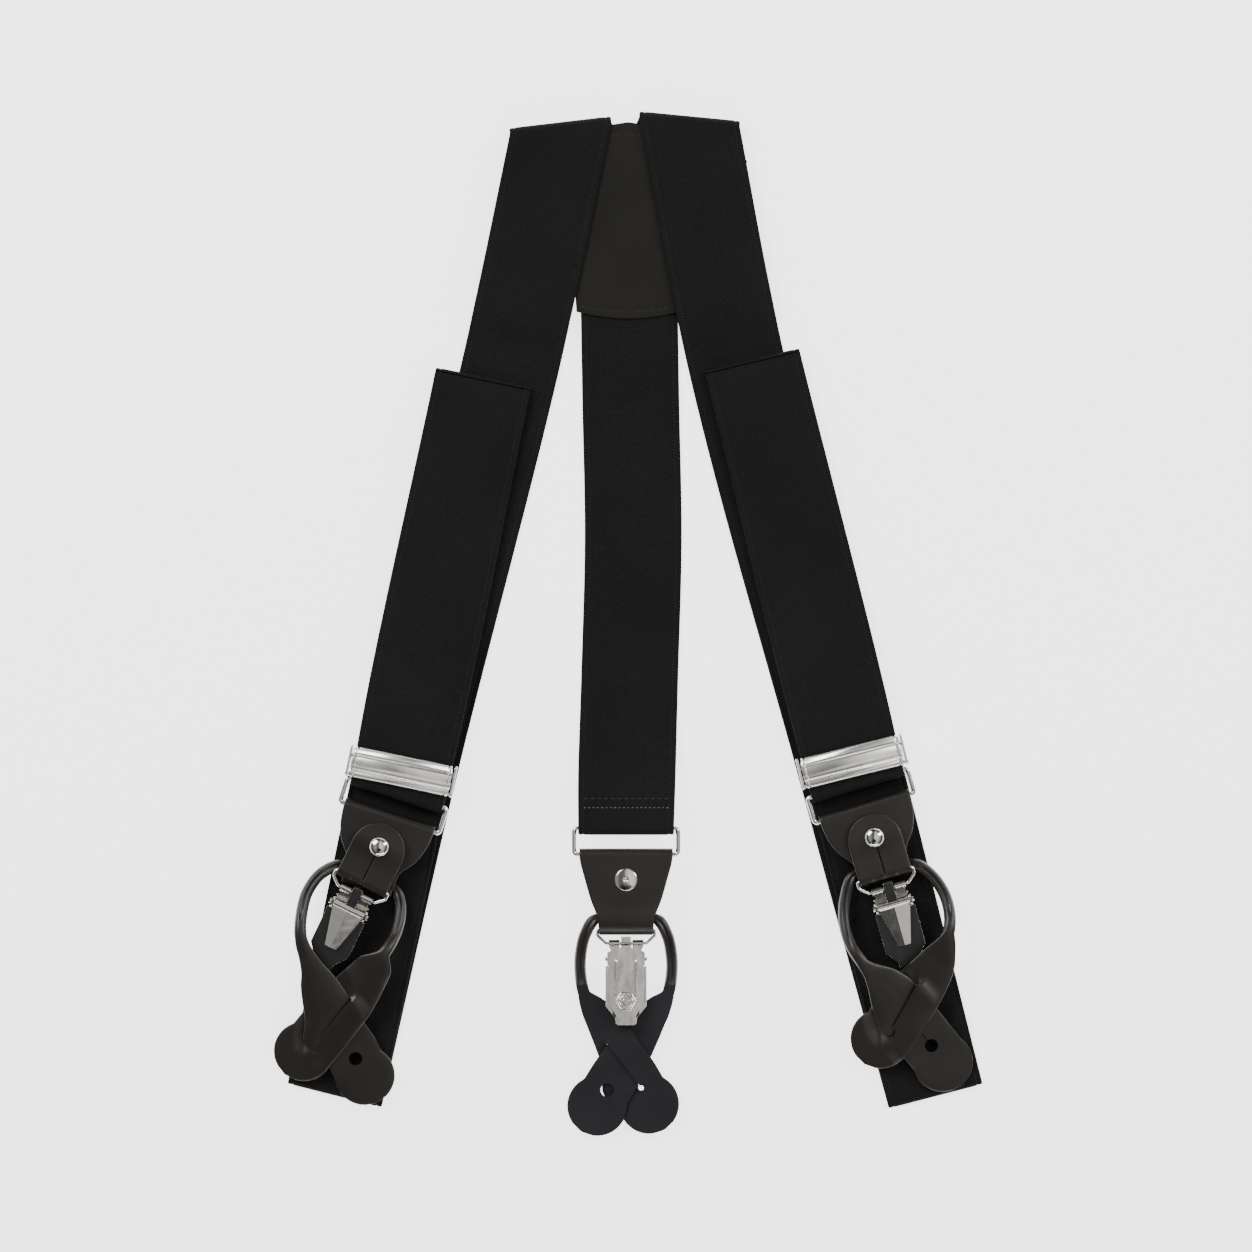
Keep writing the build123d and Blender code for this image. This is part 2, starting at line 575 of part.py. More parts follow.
def adjuster_frame():
    cheek_x = (CHEEK_INNER + CHEEK_OUTER) / 2
    cheek = Pos(cheek_x, -0.3, 1.3) * Box(CHEEK_OUTER - CHEEK_INNER, 11.4, 6.2)
    cheek = fillet(cheek.edges().filter_by(Axis.X), 1.2)
    rear_bar = Rot(0, 90, 0) * Cylinder(REAR_BAR_RADIUS, 2 * CHEEK_INNER + 0.2)
    rear_bar = Pos(0, REAR_BAR_Y, 0) * rear_bar
    frame = cheek + mirror(cheek, Plane.YZ) + rear_bar
    return frame - hinge_line() * Cylinder(HINGE_PIN_RADIUS, 60)


def adjuster_cover():
    plate = Pos(0, 0, COVER_LEVEL + 0.5) * Box(2 * COVER_HALF, COVER_HEIGHT, 1.0)
    plate = fillet(plate.edges().filter_by(Axis.X).group_by(Axis.Z)[-1], 0.5)
    for offset in (-RIDGE_OFFSET, RIDGE_OFFSET):
        ridge = Rot(0, 90, 0) * Cylinder(RIDGE_RADIUS, 2 * COVER_HALF - 1.2)
        plate = plate + Pos(0, offset, COVER_LEVEL + 1.0) * ridge
    barrel = hinge_line() * Cylinder(0.95, 2 * BARREL_HALF)
    middle = Pos(0, -COVER_HEIGHT / 2, HINGE_LEVEL) * Box(2 * (COVER_HALF - 0.6), 4, 4)
    plate = plate + (barrel - middle)
    return plate - hinge_line() * Cylinder(HINGE_PIN_RADIUS + 0.05, 60)


def adjuster_pins():
    pin = hinge_line() * Pos(0, 0, 18.35) * Cylinder(HINGE_PIN_RADIUS, 2.7)
    return [pin, mirror(pin, Plane.YZ)]


# ---- assembly ----

def build_parts():
    parts = {
        "patch_outer": patch_plate(LEATHER),
        "patch_lining": Pos(0, 0, LINING_Z) * patch_plate(LINING_THICK),
        "back_strap": back_strap(ENDS["back"]),
    }
    for side, spec in FRONT_STRAPS.items():
        end = ENDS[side]
        parts[side + "_strap"] = front_strap(spec)
        parts[side + "_strap_end"] = strap_end(spec, end)
        place = adjuster_place(spec, end)
        parts[side + "_adjuster_frame"] = place * adjuster_frame()
        parts[side + "_adjuster_cover"] = place * adjuster_cover()
        parts[side + "_adjuster_pins"] = Compound([place * pin for pin in adjuster_pins()])
    for side, end in ENDS.items():
        here = end_place(end)
        flap = flap_place(end)
        clip = clip_place(end)
        parts[side + "_ring"] = here * ring()
        parts[side + "_yoke"] = here * yoke(end)
        parts[side + "_clip_flap"] = flap * clip_flap(end)
        parts[side + "_stud"] = flap * stud()
        parts[side + "_stud_cap"] = flap * stud_cap()
        parts[side + "_button_loop"] = here * button_loop(end)
        parts[side + "_bail"] = bail_place(end) * bail()
        parts[side + "_clip_back_plate"] = clip * clip_back_plate()
        parts[side + "_clip_front_jaw"] = clip * clip_front_jaw()
        parts[side + "_clip_lever"] = clip * clip_lever()
        parts[side + "_clip_pin"] = clip * clip_pin()
        parts[side + "_clip_pad"] = clip * clip_pad()
        parts[side + "_pad_rivet"] = clip * pad_rivet()
    return parts


def main():
    os.makedirs("parts", exist_ok=True)
    for name, shape in build_parts().items():
        export_step(shape, os.path.join("parts", name + ".step"))


if __name__ == "__main__":
    main()
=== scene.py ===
import json
from math import atan2, copysign, cos, degrees, exp, pi, radians, sin, sqrt, tan, tanh
import bmesh
import bpy
from mathutils import Matrix, Vector


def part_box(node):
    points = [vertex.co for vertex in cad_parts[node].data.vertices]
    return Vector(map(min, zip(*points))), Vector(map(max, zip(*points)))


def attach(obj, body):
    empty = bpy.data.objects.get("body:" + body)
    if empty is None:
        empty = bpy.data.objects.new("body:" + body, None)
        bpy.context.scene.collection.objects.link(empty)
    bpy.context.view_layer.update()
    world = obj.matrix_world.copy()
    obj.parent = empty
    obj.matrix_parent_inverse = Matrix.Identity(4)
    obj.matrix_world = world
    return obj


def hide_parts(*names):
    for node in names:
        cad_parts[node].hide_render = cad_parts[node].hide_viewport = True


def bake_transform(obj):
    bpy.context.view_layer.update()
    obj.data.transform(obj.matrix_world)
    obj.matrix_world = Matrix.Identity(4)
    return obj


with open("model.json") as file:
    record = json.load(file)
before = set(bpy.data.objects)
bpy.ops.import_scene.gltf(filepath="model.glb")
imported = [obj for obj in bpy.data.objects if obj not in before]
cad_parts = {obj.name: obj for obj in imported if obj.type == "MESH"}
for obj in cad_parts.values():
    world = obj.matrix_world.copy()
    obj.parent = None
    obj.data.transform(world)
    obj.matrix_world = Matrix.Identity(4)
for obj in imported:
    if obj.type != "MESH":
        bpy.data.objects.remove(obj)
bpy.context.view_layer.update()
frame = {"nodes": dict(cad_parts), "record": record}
joints = {joint["name"]: joint for joint in frame["record"]["behaviour"]["joints"]}

# ---- sizes, in millimetres ----
MM = 0.001
WEB = 35.0
WEB_THICK = 1.4
PLY = 1.5
PLY_MIDS = (0.7, 2.2, 3.7)
ARM_MID = 1.95
ARM_LENGTH = 42.0
OVER_PATCH_MID = 4.7
WRAP_MID = 1.7
WRAP_HALF = (WEB - 0.6) / 2
RETURN_PLY = 9.4
BACK_TAIL = 16.0
PATCH_CURVE = 67.5
YOKE_LENGTH = {"left": 26.8, "right": 26.8, "back": 28.8}
YOKE_FOLD = 1.62
FLAP_ABOVE_STUD = 8.4
FLAP_HALF = 9.7
FLAP_FOLD = 1.22
FLAP_HOLE = 1.9
CORD_HALF = 2.15
CORD_HEIGHT = 2.1
STRIP_HEIGHT = 0.6
STRIP_BOTTOM = 4.8
SLOPE_HINGE_Y = -57.0
EAR_RADIUS = 10.8
BUTTON_HOLE = 2.4
SLIT_WIDTH = 0.3
WEAVE_RISE = 1.22
BRIDGE_Y = -23.5
FLESH_BELOW_Y = -47.0
CLIP_PLATE = -1.45
RIVET_Y = -21.0
RIVET_RADIUS = 2.35
HEXAGON_RADIUS = 3.5
# Each fold is its middle, its angle and the skew of the ply across it.
STRAPS = {
    "left": {
        "arm_lean": 24.9, "top_fold": (-24.5, 180.2, 6.7, 18.2),
        "down": [(-37.1, 116.0), (-82.5, -67.5)],
        "low_fold": (-105.8, -170.5, -14.2, 0.0), "high_fold": (-52.0, 88.4, -11.8, 0.0),
    },
    "right": {
        "arm_lean": -21.5, "top_fold": (22.3, 182.4, -5.5, 16.0),
        "down": [(34.9, 112.7), (80.6, -59.6)],
        "low_fold": (110.9, -170.8, 14.6, 0.0), "high_fold": (44.6, 94.8, 13.4, 0.0),
    },
}
# Each end's two cords, ears and holes come with the under strip first and the over strip second.
# Flares are a strip's half-widths to its left and right, by distance from the end of its cord.
TABS = {
    "left": {
        "cords": ([(-12.2, -22.0), (-17.0, -26.6), (-19.6, -34.0), (-19.2, -42.0), (-16.6, -50.5)],
                  [(10.6, -24.2), (13.4, -28.2), (14.9, -33.5), (15.0, -40.0), (13.4, -46.5)]),
        "ears": ((20.3, -90.9), (-3.3, -89.4)), "holes": ((15.3, -86.1), (0.0, -84.0)), "slope": 9.0,
        "flares": (((0, 2.3, 2.2), (6, 3.2, 2.6), (12, 5.4, 3.4), (16, 7.4, 4.7), (22, 9.4, 6.1),
                    (28, 11.2, 6.9), (34, 14.6, 7.6), (38, 14.2, 8.0), (45, 10.4, 9.2)),
                   ((0, 2.2, 2.4), (3, 3.8, 5.6), (6, 5.8, 7.0), (12, 6.9, 8.5), (17, 7.6, 9.5),
                    (22, 8.0, 10.2), (35, 9.2, 10.7))),
        "slit_top": (7.0, -66.2), "slit_hole": 2.0, "low_slit": False,
    },
    "right": {
        "cords": ([(-11.6, -22.4), (-16.0, -28.6), (-19.0, -37.0), (-19.4, -44.5), (-17.2, -52.5)],
                  [(11.4, -24.4), (15.6, -29.6), (18.2, -37.4), (18.0, -44.5), (15.6, -51.0)]),
        "ears": ((0.2, -95.7), (-18.9, -80.8)), "holes": ((-2.1, -88.6), (-15.1, -79.3)), "slope": 9.0,
        "flares": (((0, 2.2, 2.2), (4, 2.6, 4.2), (9, 4.5, 7.4), (15, 7.4, 9.6), (23, 10.6, 10.2),
                    (27, 10.8, 10.4), (34, 10.0, 10.5)),
                   ((0, 2.2, 2.2), (4, 2.6, 5.0), (9, 3.8, 8.4), (19, 6.3, 10.6), (31, 8.8, 11.2))),
        "slit_top": (-0.6, -65.3), "slit_hole": 2.0, "low_slit": True,
    },
    "back": {
        "cords": ([(-11.6, -23.6), (-14.6, -28.6), (-16.3, -36.0), (-16.4, -43.0), (-15.2, -50.0)],
                  [(11.6, -23.6), (14.6, -28.6), (16.3, -36.0), (16.4, -43.0), (15.2, -50.0)]),
        "ears": ((10.4, -90.7), (-8.3, -90.0)), "holes": ((6.8, -85.0), (-5.4, -84.2)), "slope": 0.0,
        "flares": (((0, 2.2, 2.2), (4, 3.4, 4.4), (8, 4.6, 5.8), (20, 6.6, 8.0), (35, 8.6, 9.2)),
                   ((0, 2.2, 2.2), (4, 4.4, 3.4), (8, 5.8, 4.6), (20, 8.0, 6.6), (28, 8.6, 8.6),
                    (34, 9.2, 12.2), (39, 9.2, 12.0), (45, 9.2, 9.2))),
        "slit_top": (6.8, -68.5), "slit_hole": 1.0, "low_slit": False,
    },
}
# Half-widths of a yoke by height above the bar that it folds over.
YOKE_EDGES = {
    "front": ((3.0, 16.9), (-2.0, 16.8), (-7.6, 15.9), (-12.6, 13.9), (-16.5, 10.9), (-19.0, 9.7),
              (-29.5, 9.3)),
    "back": ((3.0, 16.8), (-2.0, 16.6), (-7.6, 15.2), (-16.6, 12.6), (-22.4, 10.4), (-29.5, 9.5)),
}
BODY_OF = {node: body for body, nodes in frame["record"]["behaviour"]["bodies"].items() for node in nodes}


# ---- small helpers ----

def smooth(value):
    value = max(0.0, min(1.0, value))
    return value * value * (3 - 2 * value)


def mix(a, b, t):
    return a + (b - a) * t


def vec(x, y, z):
    return Vector((x, y, z))


def hermite(start, stop, leave, arrive, t):
    """A point of the smooth cubic from start to stop with the given end slopes."""
    return (start * (2 * t ** 3 - 3 * t * t + 1) + stop * (3 * t * t - 2 * t ** 3)
            + leave * (t ** 3 - 2 * t * t + t) + arrive * (t ** 3 - t * t))


def curve_through(points, steps):
    """Smooth points through a list of Vectors; steps is one count, or one for each span."""
    spans = [max((b - a).length, 1e-6) for a, b in zip(points, points[1:])]
    counts = steps if isinstance(steps, list) else [steps] * len(spans)
    slopes = [(points[1] - points[0]) / spans[0]]
    for i in range(1, len(points) - 1):
        before = (points[i] - points[i - 1]) / spans[i - 1]
        after = (points[i + 1] - points[i]) / spans[i]
        slopes.append((before * spans[i] + after * spans[i - 1]) / (spans[i - 1] + spans[i]))
    slopes.append((points[-1] - points[-2]) / spans[-1])
    out = []
    for i, span in enumerate(spans):
        leave, arrive = slopes[i] * span, slopes[i + 1] * span
        for k in range(counts[i]):
            out.append(hermite(points[i], points[i + 1], leave, arrive, k / counts[i]))
    out.append(points[-1].copy())
    return out


def between(stops, at):
    """The values of the rows in stops, read off smoothly at a distance along them."""
    if at <= stops[0][0]:
        return list(stops[0][1:])
    if at >= stops[-1][0]:
        return list(stops[-1][1:])
    i = max(k for k in range(len(stops) - 1) if stops[k][0] <= at)
    low, high = stops[i], stops[i + 1]
    before, after = stops[max(i - 1, 0)], stops[min(i + 2, len(stops) - 1)]
    span = high[0] - low[0]
    t = (at - low[0]) / span
    out = []
    for k in range(1, len(low)):
        first = (high[k] - before[k]) / (high[0] - before[0]) * span
        second = (after[k] - low[k]) / (after[0] - low[0]) * span
        out.append(hermite(low[k], high[k], first, second, t))
    return out


def add_object(name, data):
    obj = bpy.data.objects.new(name, data)
    bpy.context.collection.objects.link(obj)
    return obj


def shade_smooth(mesh, sharp_angle=None):
    """Smooth shading, with sharp edges from an angle in degrees."""
    mesh.polygons.foreach_set("use_smooth", [True] * len(mesh.polygons))
    if sharp_angle is not None:
        mesh.set_sharp_from_angle(angle=radians(sharp_angle))


def new_piece(name, verts, faces, material, uvs=None, place=None):
    """A mesh object from points in millimetres."""
    mesh = bpy.data.meshes.new(name)
    mesh.from_pydata([tuple(v * MM) for v in verts], [], faces)
    if uvs:
        layer = mesh.uv_layers.new(name="UVMap")
        for loop in mesh.loops:
            layer.data[loop.index].uv = uvs[loop.vertex_index]
    shade_smooth(mesh)
    mesh.materials.append(material)
    obj = add_object(name, mesh)
    tidy = bmesh.new()
    tidy.from_mesh(mesh)
    bmesh.ops.recalc_face_normals(tidy, faces=tidy.faces)
    tidy.to_mesh(mesh)
    tidy.free()
    if place is not None:
        mesh.transform(place)
    return obj


def skin(rings, size, base=0):
    """Faces of a closed tube: rings of size points each, and its two ends."""
    faces = []
    for i in range(rings - 1):
        for k in range(size):
            a = base + i * size + k
            b = base + i * size + (k + 1) % size
            faces.append((a, b, b + size, a + size))
    last = base + (rings - 1) * size
    faces.append(tuple(range(base, base + size))[::-1])
    faces.append(tuple(range(last, last + size)))
    return faces


def settle(piece, body, slot, node=None):
    """Says what a piece rides on and the CAD node that it stands for, which it hides; slot is not used."""
    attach(piece, body)
    if node is not None:
        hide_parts(node)


def joint_place(name):
    """Local frame at a joint: origin on its axis, x along it, z straight up."""
    joint = joints[name]
    x = Vector(joint["axis"]).normalized()
    up = vec(0, 0, 1)
    matrix = Matrix((x, up.cross(x).normalized(), up)).transposed().to_4x4()
    matrix.translation = Vector(joint["pos_m"])
    return matrix


def facing(side, place):
    """Turns a joint frame so that +y points up the strap and +z out of the leather's face."""
    if place.col[1][1] < 0:
        place = place @ Matrix.Rotation(pi, 4, "Z")
    face = -1 if side == "back" else 1
    if place.col[2][2] * face < 0:
        place = place @ Matrix.Rotation(pi, 4, "Y")
    return place


# ---- materials ----

def node_material(name, colour, roughness, metallic=0.0, gleam=0.5):
    material = bpy.data.materials.new(name)
    material.use_nodes = True
    shader = material.node_tree.nodes["Principled BSDF"]
    shader.inputs["Base Color"].default_value = (*colour, 1)
    shader.inputs["Roughness"].default_value = roughness
    shader.inputs["Metallic"].default_value = metallic
    shader.inputs["Specular IOR Level"].default_value = gleam
    return material, material.node_tree, shader


def texture(tree, kind, scale):
    """A texture node that reads the object's own coordinates, in metres."""
    node = tree.nodes.new(kind)
    node.inputs["Scale"].default_value = scale
    coords = tree.nodes.new("ShaderNodeTexCoord")
    tree.links.new(coords.outputs["Object"], node.inputs["Vector"])
    return node


def noise(tree, scale, detail):
    node = texture(tree, "ShaderNodeTexNoise", scale)
    node.inputs["Detail"].default_value = detail
    return node.outputs[0]


def maths(operation, a, b=None):
    """A maths node on sockets or numbers, in the sockets' own node tree."""
    tree = next(value.id_data for value in (a, b) if not isinstance(value, (int, float)))
    node = tree.nodes.new("ShaderNodeMath")
    node.operation = operation
    for socket, value in zip(node.inputs, (a, b)):
        if isinstance(value, (int, float)):
            socket.default_value = value
        elif value is not None:
            tree.links.new(value, socket)
    return node.outputs[0]


def plus(a, b):
    return maths("ADD", a, b)


def times(a, b):
    return maths("MULTIPLY", a, b)


def wave(distance, pitch):
    """A sine that repeats every pitch millimetres."""
    return maths("SINE", times(distance, 2 * pi / pitch))


def ramp(source, stops):
    """Colours by value: the stops are positions with their colours."""
    tree = source.id_data
    node = tree.nodes.new("ShaderNodeValToRGB")
    elements = node.color_ramp.elements
    elements[1].position = stops[-1][0]
    elements[1].color = (*stops[-1][1], 1)
    elements[0].position = stops[0][0]
    elements[0].color = (*stops[0][1], 1)
    for position, colour in stops[1:-1]:
        elements.new(position).color = (*colour, 1)
    tree.links.new(source, node.inputs[0])
    return node.outputs[0]


def bump(shader, height, strength, distance, after=None):
    tree = shader.id_data
    node = tree.nodes.new("ShaderNodeBump")
    node.inputs["Strength"].default_value = strength
    node.inputs["Distance"].default_value = distance
    tree.links.new(height, node.inputs["Height"])
    if after is not None:
        tree.links.new(after, node.inputs["Normal"])
    tree.links.new(node.outputs[0], shader.inputs["Normal"])
    return node.outputs[0]


def webbing_material():
    """Twill with a herringbone change near each edge, a dotted line and a plain selvedge."""
    material, tree, shader = node_material("webbing_black", (0.01, 0.01, 0.01), 0.9, gleam=0.15)
    uv = tree.nodes.new("ShaderNodeUVMap")
    uv.uv_map = "UVMap"
    split = tree.nodes.new("ShaderNodeSeparateXYZ")
    tree.links.new(uv.outputs[0], split.inputs[0])
    across, along = split.outputs[0], split.outputs[1]
    edge = maths("MINIMUM", across, maths("SUBTRACT", WEB, across))
    lean = maths("SIGN", maths("SUBTRACT", edge, 5.4))
    diagonal = plus(times(along, 1.05), times(lean, edge))
    picks = wave(along, 0.62)
    twill = times(wave(diagonal, 0.85), 0.55)
    weave = plus(twill, times(wave(across, 0.5), 0.3))
    weave = plus(weave, times(picks, 0.25))
    selvedge = maths("LESS_THAN", edge, 1.55)
    inside = maths("SUBTRACT", 1.0, selvedge)
    weave = plus(times(weave, inside), times(times(picks, 0.35), selvedge))
    on_line = maths("LESS_THAN", maths("ABSOLUTE", maths("SUBTRACT", edge, 1.95)), 0.3)
    dotted = times(on_line, maths("GREATER_THAN", wave(along, 1.15), 0.1))
    fuzz = noise(tree, 900.0, 3.0)
    broad = noise(tree, 26.0, 2.0)
    tone = plus(times(weave, 0.18), times(fuzz, 0.35))
    tone = plus(tone, times(broad, 0.3))
    tone = plus(tone, times(dotted, 0.45))
    colour = ramp(tone, [(0.0, (0.0035, 0.0034, 0.0034)), (1.0, (0.0250, 0.0240, 0.0232))])
    tree.links.new(colour, shader.inputs["Base Color"])
    height = plus(weave, times(dotted, -1.2))
    height = plus(height, times(fuzz, 0.5))
    bump(shader, height, 0.55, 0.00012)
    return material


def leather_material(name, tones, roughness, grain, relief, gleam):
    """Leather: pores, a fine creased grain and slight colour and gloss variation."""
    dark, light = tones
    low, high = roughness
    material, tree, shader = node_material(name, light, low, gleam=gleam)
    cells = texture(tree, "ShaderNodeTexVoronoi", grain)
    cells.feature = "DISTANCE_TO_EDGE"
    fine = noise(tree, grain * 0.7, 5.0)
    broad = noise(tree, 55.0, 3.0)
    tree.links.new(ramp(broad, [(0.3, dark), (0.7, light)]), shader.inputs["Base Color"])
    tree.links.new(plus(low, times(fine, high - low)), shader.inputs["Roughness"])
    bump(shader, plus(cells.outputs[0], times(fine, 0.6)), relief, 0.0001)
    return material


def metal_material(name, colour, low, high):
    """Polished nickel plate: tiny scratches, a little haze and warm tone variation."""
    material, tree, shader = node_material(name, colour, low, metallic=1.0)
    fine = noise(tree, 1400.0, 4.0)
    broad = noise(tree, 120.0, 2.0)
    tree.links.new(plus(low, times(broad, high - low)), shader.inputs["Roughness"])
    shade = tuple(c * 0.9 for c in colour)
    tree.links.new(ramp(broad, [(0.3, shade), (0.7, colour)]), shader.inputs["Base Color"])
    waves = bump(shader, broad, 0.22, 0.0006)
    bump(shader, fine, 0.06, 0.00005, waves)
    return material


def plastic_material(name, colour, roughness):
    material, tree, shader = node_material(name, colour, roughness)
    bump(shader, noise(tree, 2500.0, 2.0), 0.2, 0.00005)
    return material


WEBBING = webbing_material()
LEATHER = leather_material("leather_smooth", ((0.0085, 0.0066, 0.0052), (0.0160, 0.0125, 0.0096)),
                           (0.27, 0.40), 2600.0, 0.10, 0.52)
FLESH = leather_material("leather_flesh", ((0.0165, 0.0160, 0.0195), (0.0245, 0.0240, 0.0285)),
                         (0.8, 0.95), 3800.0, 0.5, 0.2)
PATCH = leather_material("leather_patch", ((0.0080, 0.0075, 0.0056), (0.0116, 0.0108, 0.0082)),
                         (0.52, 0.66), 3000.0, 0.16, 0.2)
NICKEL = metal_material("nickel_plate", (0.90, 0.875, 0.825), 0.10, 0.2)
NICKEL_WIRE = metal_material("nickel_wire", (0.82, 0.81, 0.79), 0.08, 0.16)
NICKEL_SATIN = metal_material("nickel_satin", (0.95, 0.935, 0.895), 0.22, 0.34)
# Black plastic of the clip pads, also used on the clip jaws as a painted dark reflection.
PAD_PLASTIC_AND_PAINTED_REFLECTION = plastic_material("pad_plastic_and_painted_reflection", (0.012, 0.012, 0.012), 0.45)
THREAD = plastic_material("thread_black", (0.008, 0.008, 0.008), 0.6)
THREAD_GREY = plastic_material("thread_grey", (0.13, 0.13, 0.135), 0.6)


# ---- webbing ----

WEB_COLUMNS = (0.0, 0.12, 0.5, 1.3, 1.65, 2.05, 2.5, 5.0, 9.0, 13.0, 17.5)
WEB_HEIGHT = (0.0, 0.62, 0.82, 0.88, 0.66, 0.72, 0.98, 1.0, 1.0, 1.0, 1.0)


def web_profile():
    left = list(zip(WEB_COLUMNS, WEB_HEIGHT))
    return left + [(WEB - x, h) for x, h in left[-2::-1]]


def ribbon(name, stations):
    """Closed webbing mesh. Each station is the left and right edge point of one cross-section."""
    profile = web_profile()
    upper = [(x, h) for x, h in profile]
    lower = [(x, -h) for x, h in profile[-2:0:-1]]
    verts, uvs = [], []
    run_left = run_right = 0.0
    for i, (left, right) in enumerate(stations):
        before = stations[max(i - 1, 0)]
        after = stations[min(i + 1, len(stations) - 1)]
        tangent = ((after[0] + after[1]) - (before[0] + before[1])).normalized()
        across = (right - left).normalized()
        up = tangent.cross(across).normalized()
        if i:
            run_left += (left - stations[i - 1][0]).length
            run_right += (right - stations[i - 1][1]).length
        for x, h in upper + lower:
            u = x / WEB
            verts.append(left.lerp(right, u) + up * (h * WEB_THICK / 2))
            uvs.append((x, mix(run_left, run_right, u)))
    faces = skin(len(stations), len(upper) + len(lower))
    return new_piece(name, verts, faces, WEBBING, uvs), (run_left + run_right) / 2


def fold_corners(fold, inset):
    """Left and right plan points where a fold's bend begins, and the way it points."""
    x, y, angle, skew = fold
    a = radians(angle)
    half = WEB / 2 / cos(radians(skew))
    line = vec(cos(a), sin(a), 0)
    outward = vec(-sin(a), cos(a), 0)
    middle = vec(x, y, 0)
    return middle - line * half - outward * inset, middle + line * half - outward * inset, outward


def bend(left, right, outward, low, high, upward, steps=10):
    """Half-round stations of a fold, from one ply's height to the next."""
    radius = (high - low) / 2
    middle = (high + low) / 2
    out = []
    for k in range(1, steps):
        t = pi * k / steps
        height = middle - radius * cos(t) if upward else middle + radius * cos(t)
        shift = outward * (radius * sin(t))
        out.append((left + shift + vec(0, 0, height), right + shift + vec(0, 0, height)))
    return out


def run_between(sections, height, step=3.0):
    """Smooth stations through flat cross-sections, lifted by height(point)."""
    spans = [((b[0] + b[1] - a[0] - a[1]) / 2).length for a, b in zip(sections, sections[1:])]
    counts = [max(2, int(span / step)) for span in spans]
    lefts = curve_through([s[0] for s in sections], counts)
    rights = curve_through([s[1] for s in sections], counts)
    out = []
    for left, right in zip(lefts, rights):
        lift = height((left + right) / 2)
        out.append((left + vec(0, 0, lift), right + vec(0, 0, lift)))
    return out


def square_section(point, lean):
    """Flat cross-section at a plan point; lean is the run's turn from straight down."""
    a = radians(lean)
    side = vec(cos(a), sin(a), 0) * (WEB / 2)
    centre = vec(point[0], point[1], 0)
    return centre - side, centre + side


def over_patch(point):
    """Height of the run down, which climbs over the patch near the top."""
    return mix(PLY_MIDS[0], OVER_PATCH_MID, smooth((point.y - 97) / 17))


def front_strap(side):
    """The arm from the patch, the run down and the run back up. Returns the upper fold's corners."""
    spec = STRAPS[side]
    top_inset = (OVER_PATCH_MID - ARM_MID) / 2 + WEB_THICK / 2
    top_left, top_right, top_out = fold_corners(spec["top_fold"], top_inset)
    fold_x, fold_y = spec["top_fold"][:2]
    lean = radians(spec["arm_lean"])
    inner = (fold_x + ARM_LENGTH * sin(lean), fold_y - ARM_LENGTH * cos(lean))
    arm_ends = [square_section(inner, spec["arm_lean"]), (top_left, top_right)]
    arm = run_between(arm_ends, lambda p: ARM_MID)

    low_inset = PLY / 2 + WEB_THICK / 2
    low_left, low_right, low_out = fold_corners(spec["low_fold"], -low_inset)
    high_left, high_right, high_out = fold_corners(spec["high_fold"], low_inset)
    first, second = spec["down"]
    route = [(fold_x, fold_y), first, second, spec["low_fold"][:2]]
    leans = [degrees(atan2(b[0] - a[0], a[1] - b[1])) for a, b in zip(route, route[1:])]
    middle_one = square_section(first, (leans[0] + leans[1]) / 2)
    middle_two = square_section(second, (leans[1] + leans[2]) / 2)
    down_sections = [(top_left, top_right), middle_one, middle_two, (low_left, low_right)]
    down = run_between(down_sections, over_patch)
    up = run_between([(low_left, low_right), (high_left, high_right)], lambda p: PLY_MIDS[1])

    stations = arm + bend(top_left, top_right, top_out, ARM_MID, OVER_PATCH_MID, True)
    stations += down + bend(low_left, low_right, -low_out, PLY_MIDS[0], PLY_MIDS[1], True)
    stations += up + bend(high_left, high_right, high_out, PLY_MIDS[1], PLY_MIDS[2], True)
    web, length = ribbon(side + "_strap_web", stations)
    settle(web, "root", "elastic_webbing", side + "_strap")
    return high_left, high_right


def ring_bar(side):
    """Middle of a ring's top bar in millimetres, and the bar's direction towards +X."""
    joint = joints[side + "_ring_swing"]
    along = Vector(joint["axis"])
    if along.x < 0:
        along = -along
    return Vector(joint["pos_m"]) / MM, along


def strap_end(side, high_left, high_right):
    """The top ply down to the ring, round its bar, and the short ply that returns to the adjuster."""
    bar, along = ring_bar(side)
    bar_left, bar_right = bar - along * WRAP_HALF, bar + along * WRAP_HALF
    flat_left, flat_right = vec(bar_left.x, bar_left.y, 0), vec(bar_right.x, bar_right.y, 0)
    near = (flat_left + flat_right) / 2
    start = (high_left + high_right) / 2
    top = bar.z + WRAP_MID
    under = bar.z - WRAP_MID

    def height(point):
        return mix(top, PLY_MIDS[2], smooth(((point - near).length - 16) / 62))

    lean = degrees(atan2(bar.x - start.x, start.y - bar.y))
    towards = (start - near).normalized()
    near_section = square_section((near + towards * 13)[:2], lean)
    run = run_between([(high_left, high_right), near_section, (flat_left, flat_right)], height)
    outward = along.cross(vec(0, 0, 1))
    wrap = bend(flat_left, flat_right, outward, under, top, False)
    web, web_length = ribbon(side + "_strap_end_web", run + wrap)
    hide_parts(side + "_strap_end")
    stays, slides = tuple((start - towards * 4) * MM), tuple((near + towards * 22) * MM)
    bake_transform(web)
    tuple(stays)
    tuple(slides)

    back = -outward * RETURN_PLY
    ply = run_between([(flat_left, flat_right), (flat_left + back, flat_right + back)], lambda p: under)
    tail, tail_length = ribbon(side + "_strap_return_web", ply)
    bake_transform(tail)


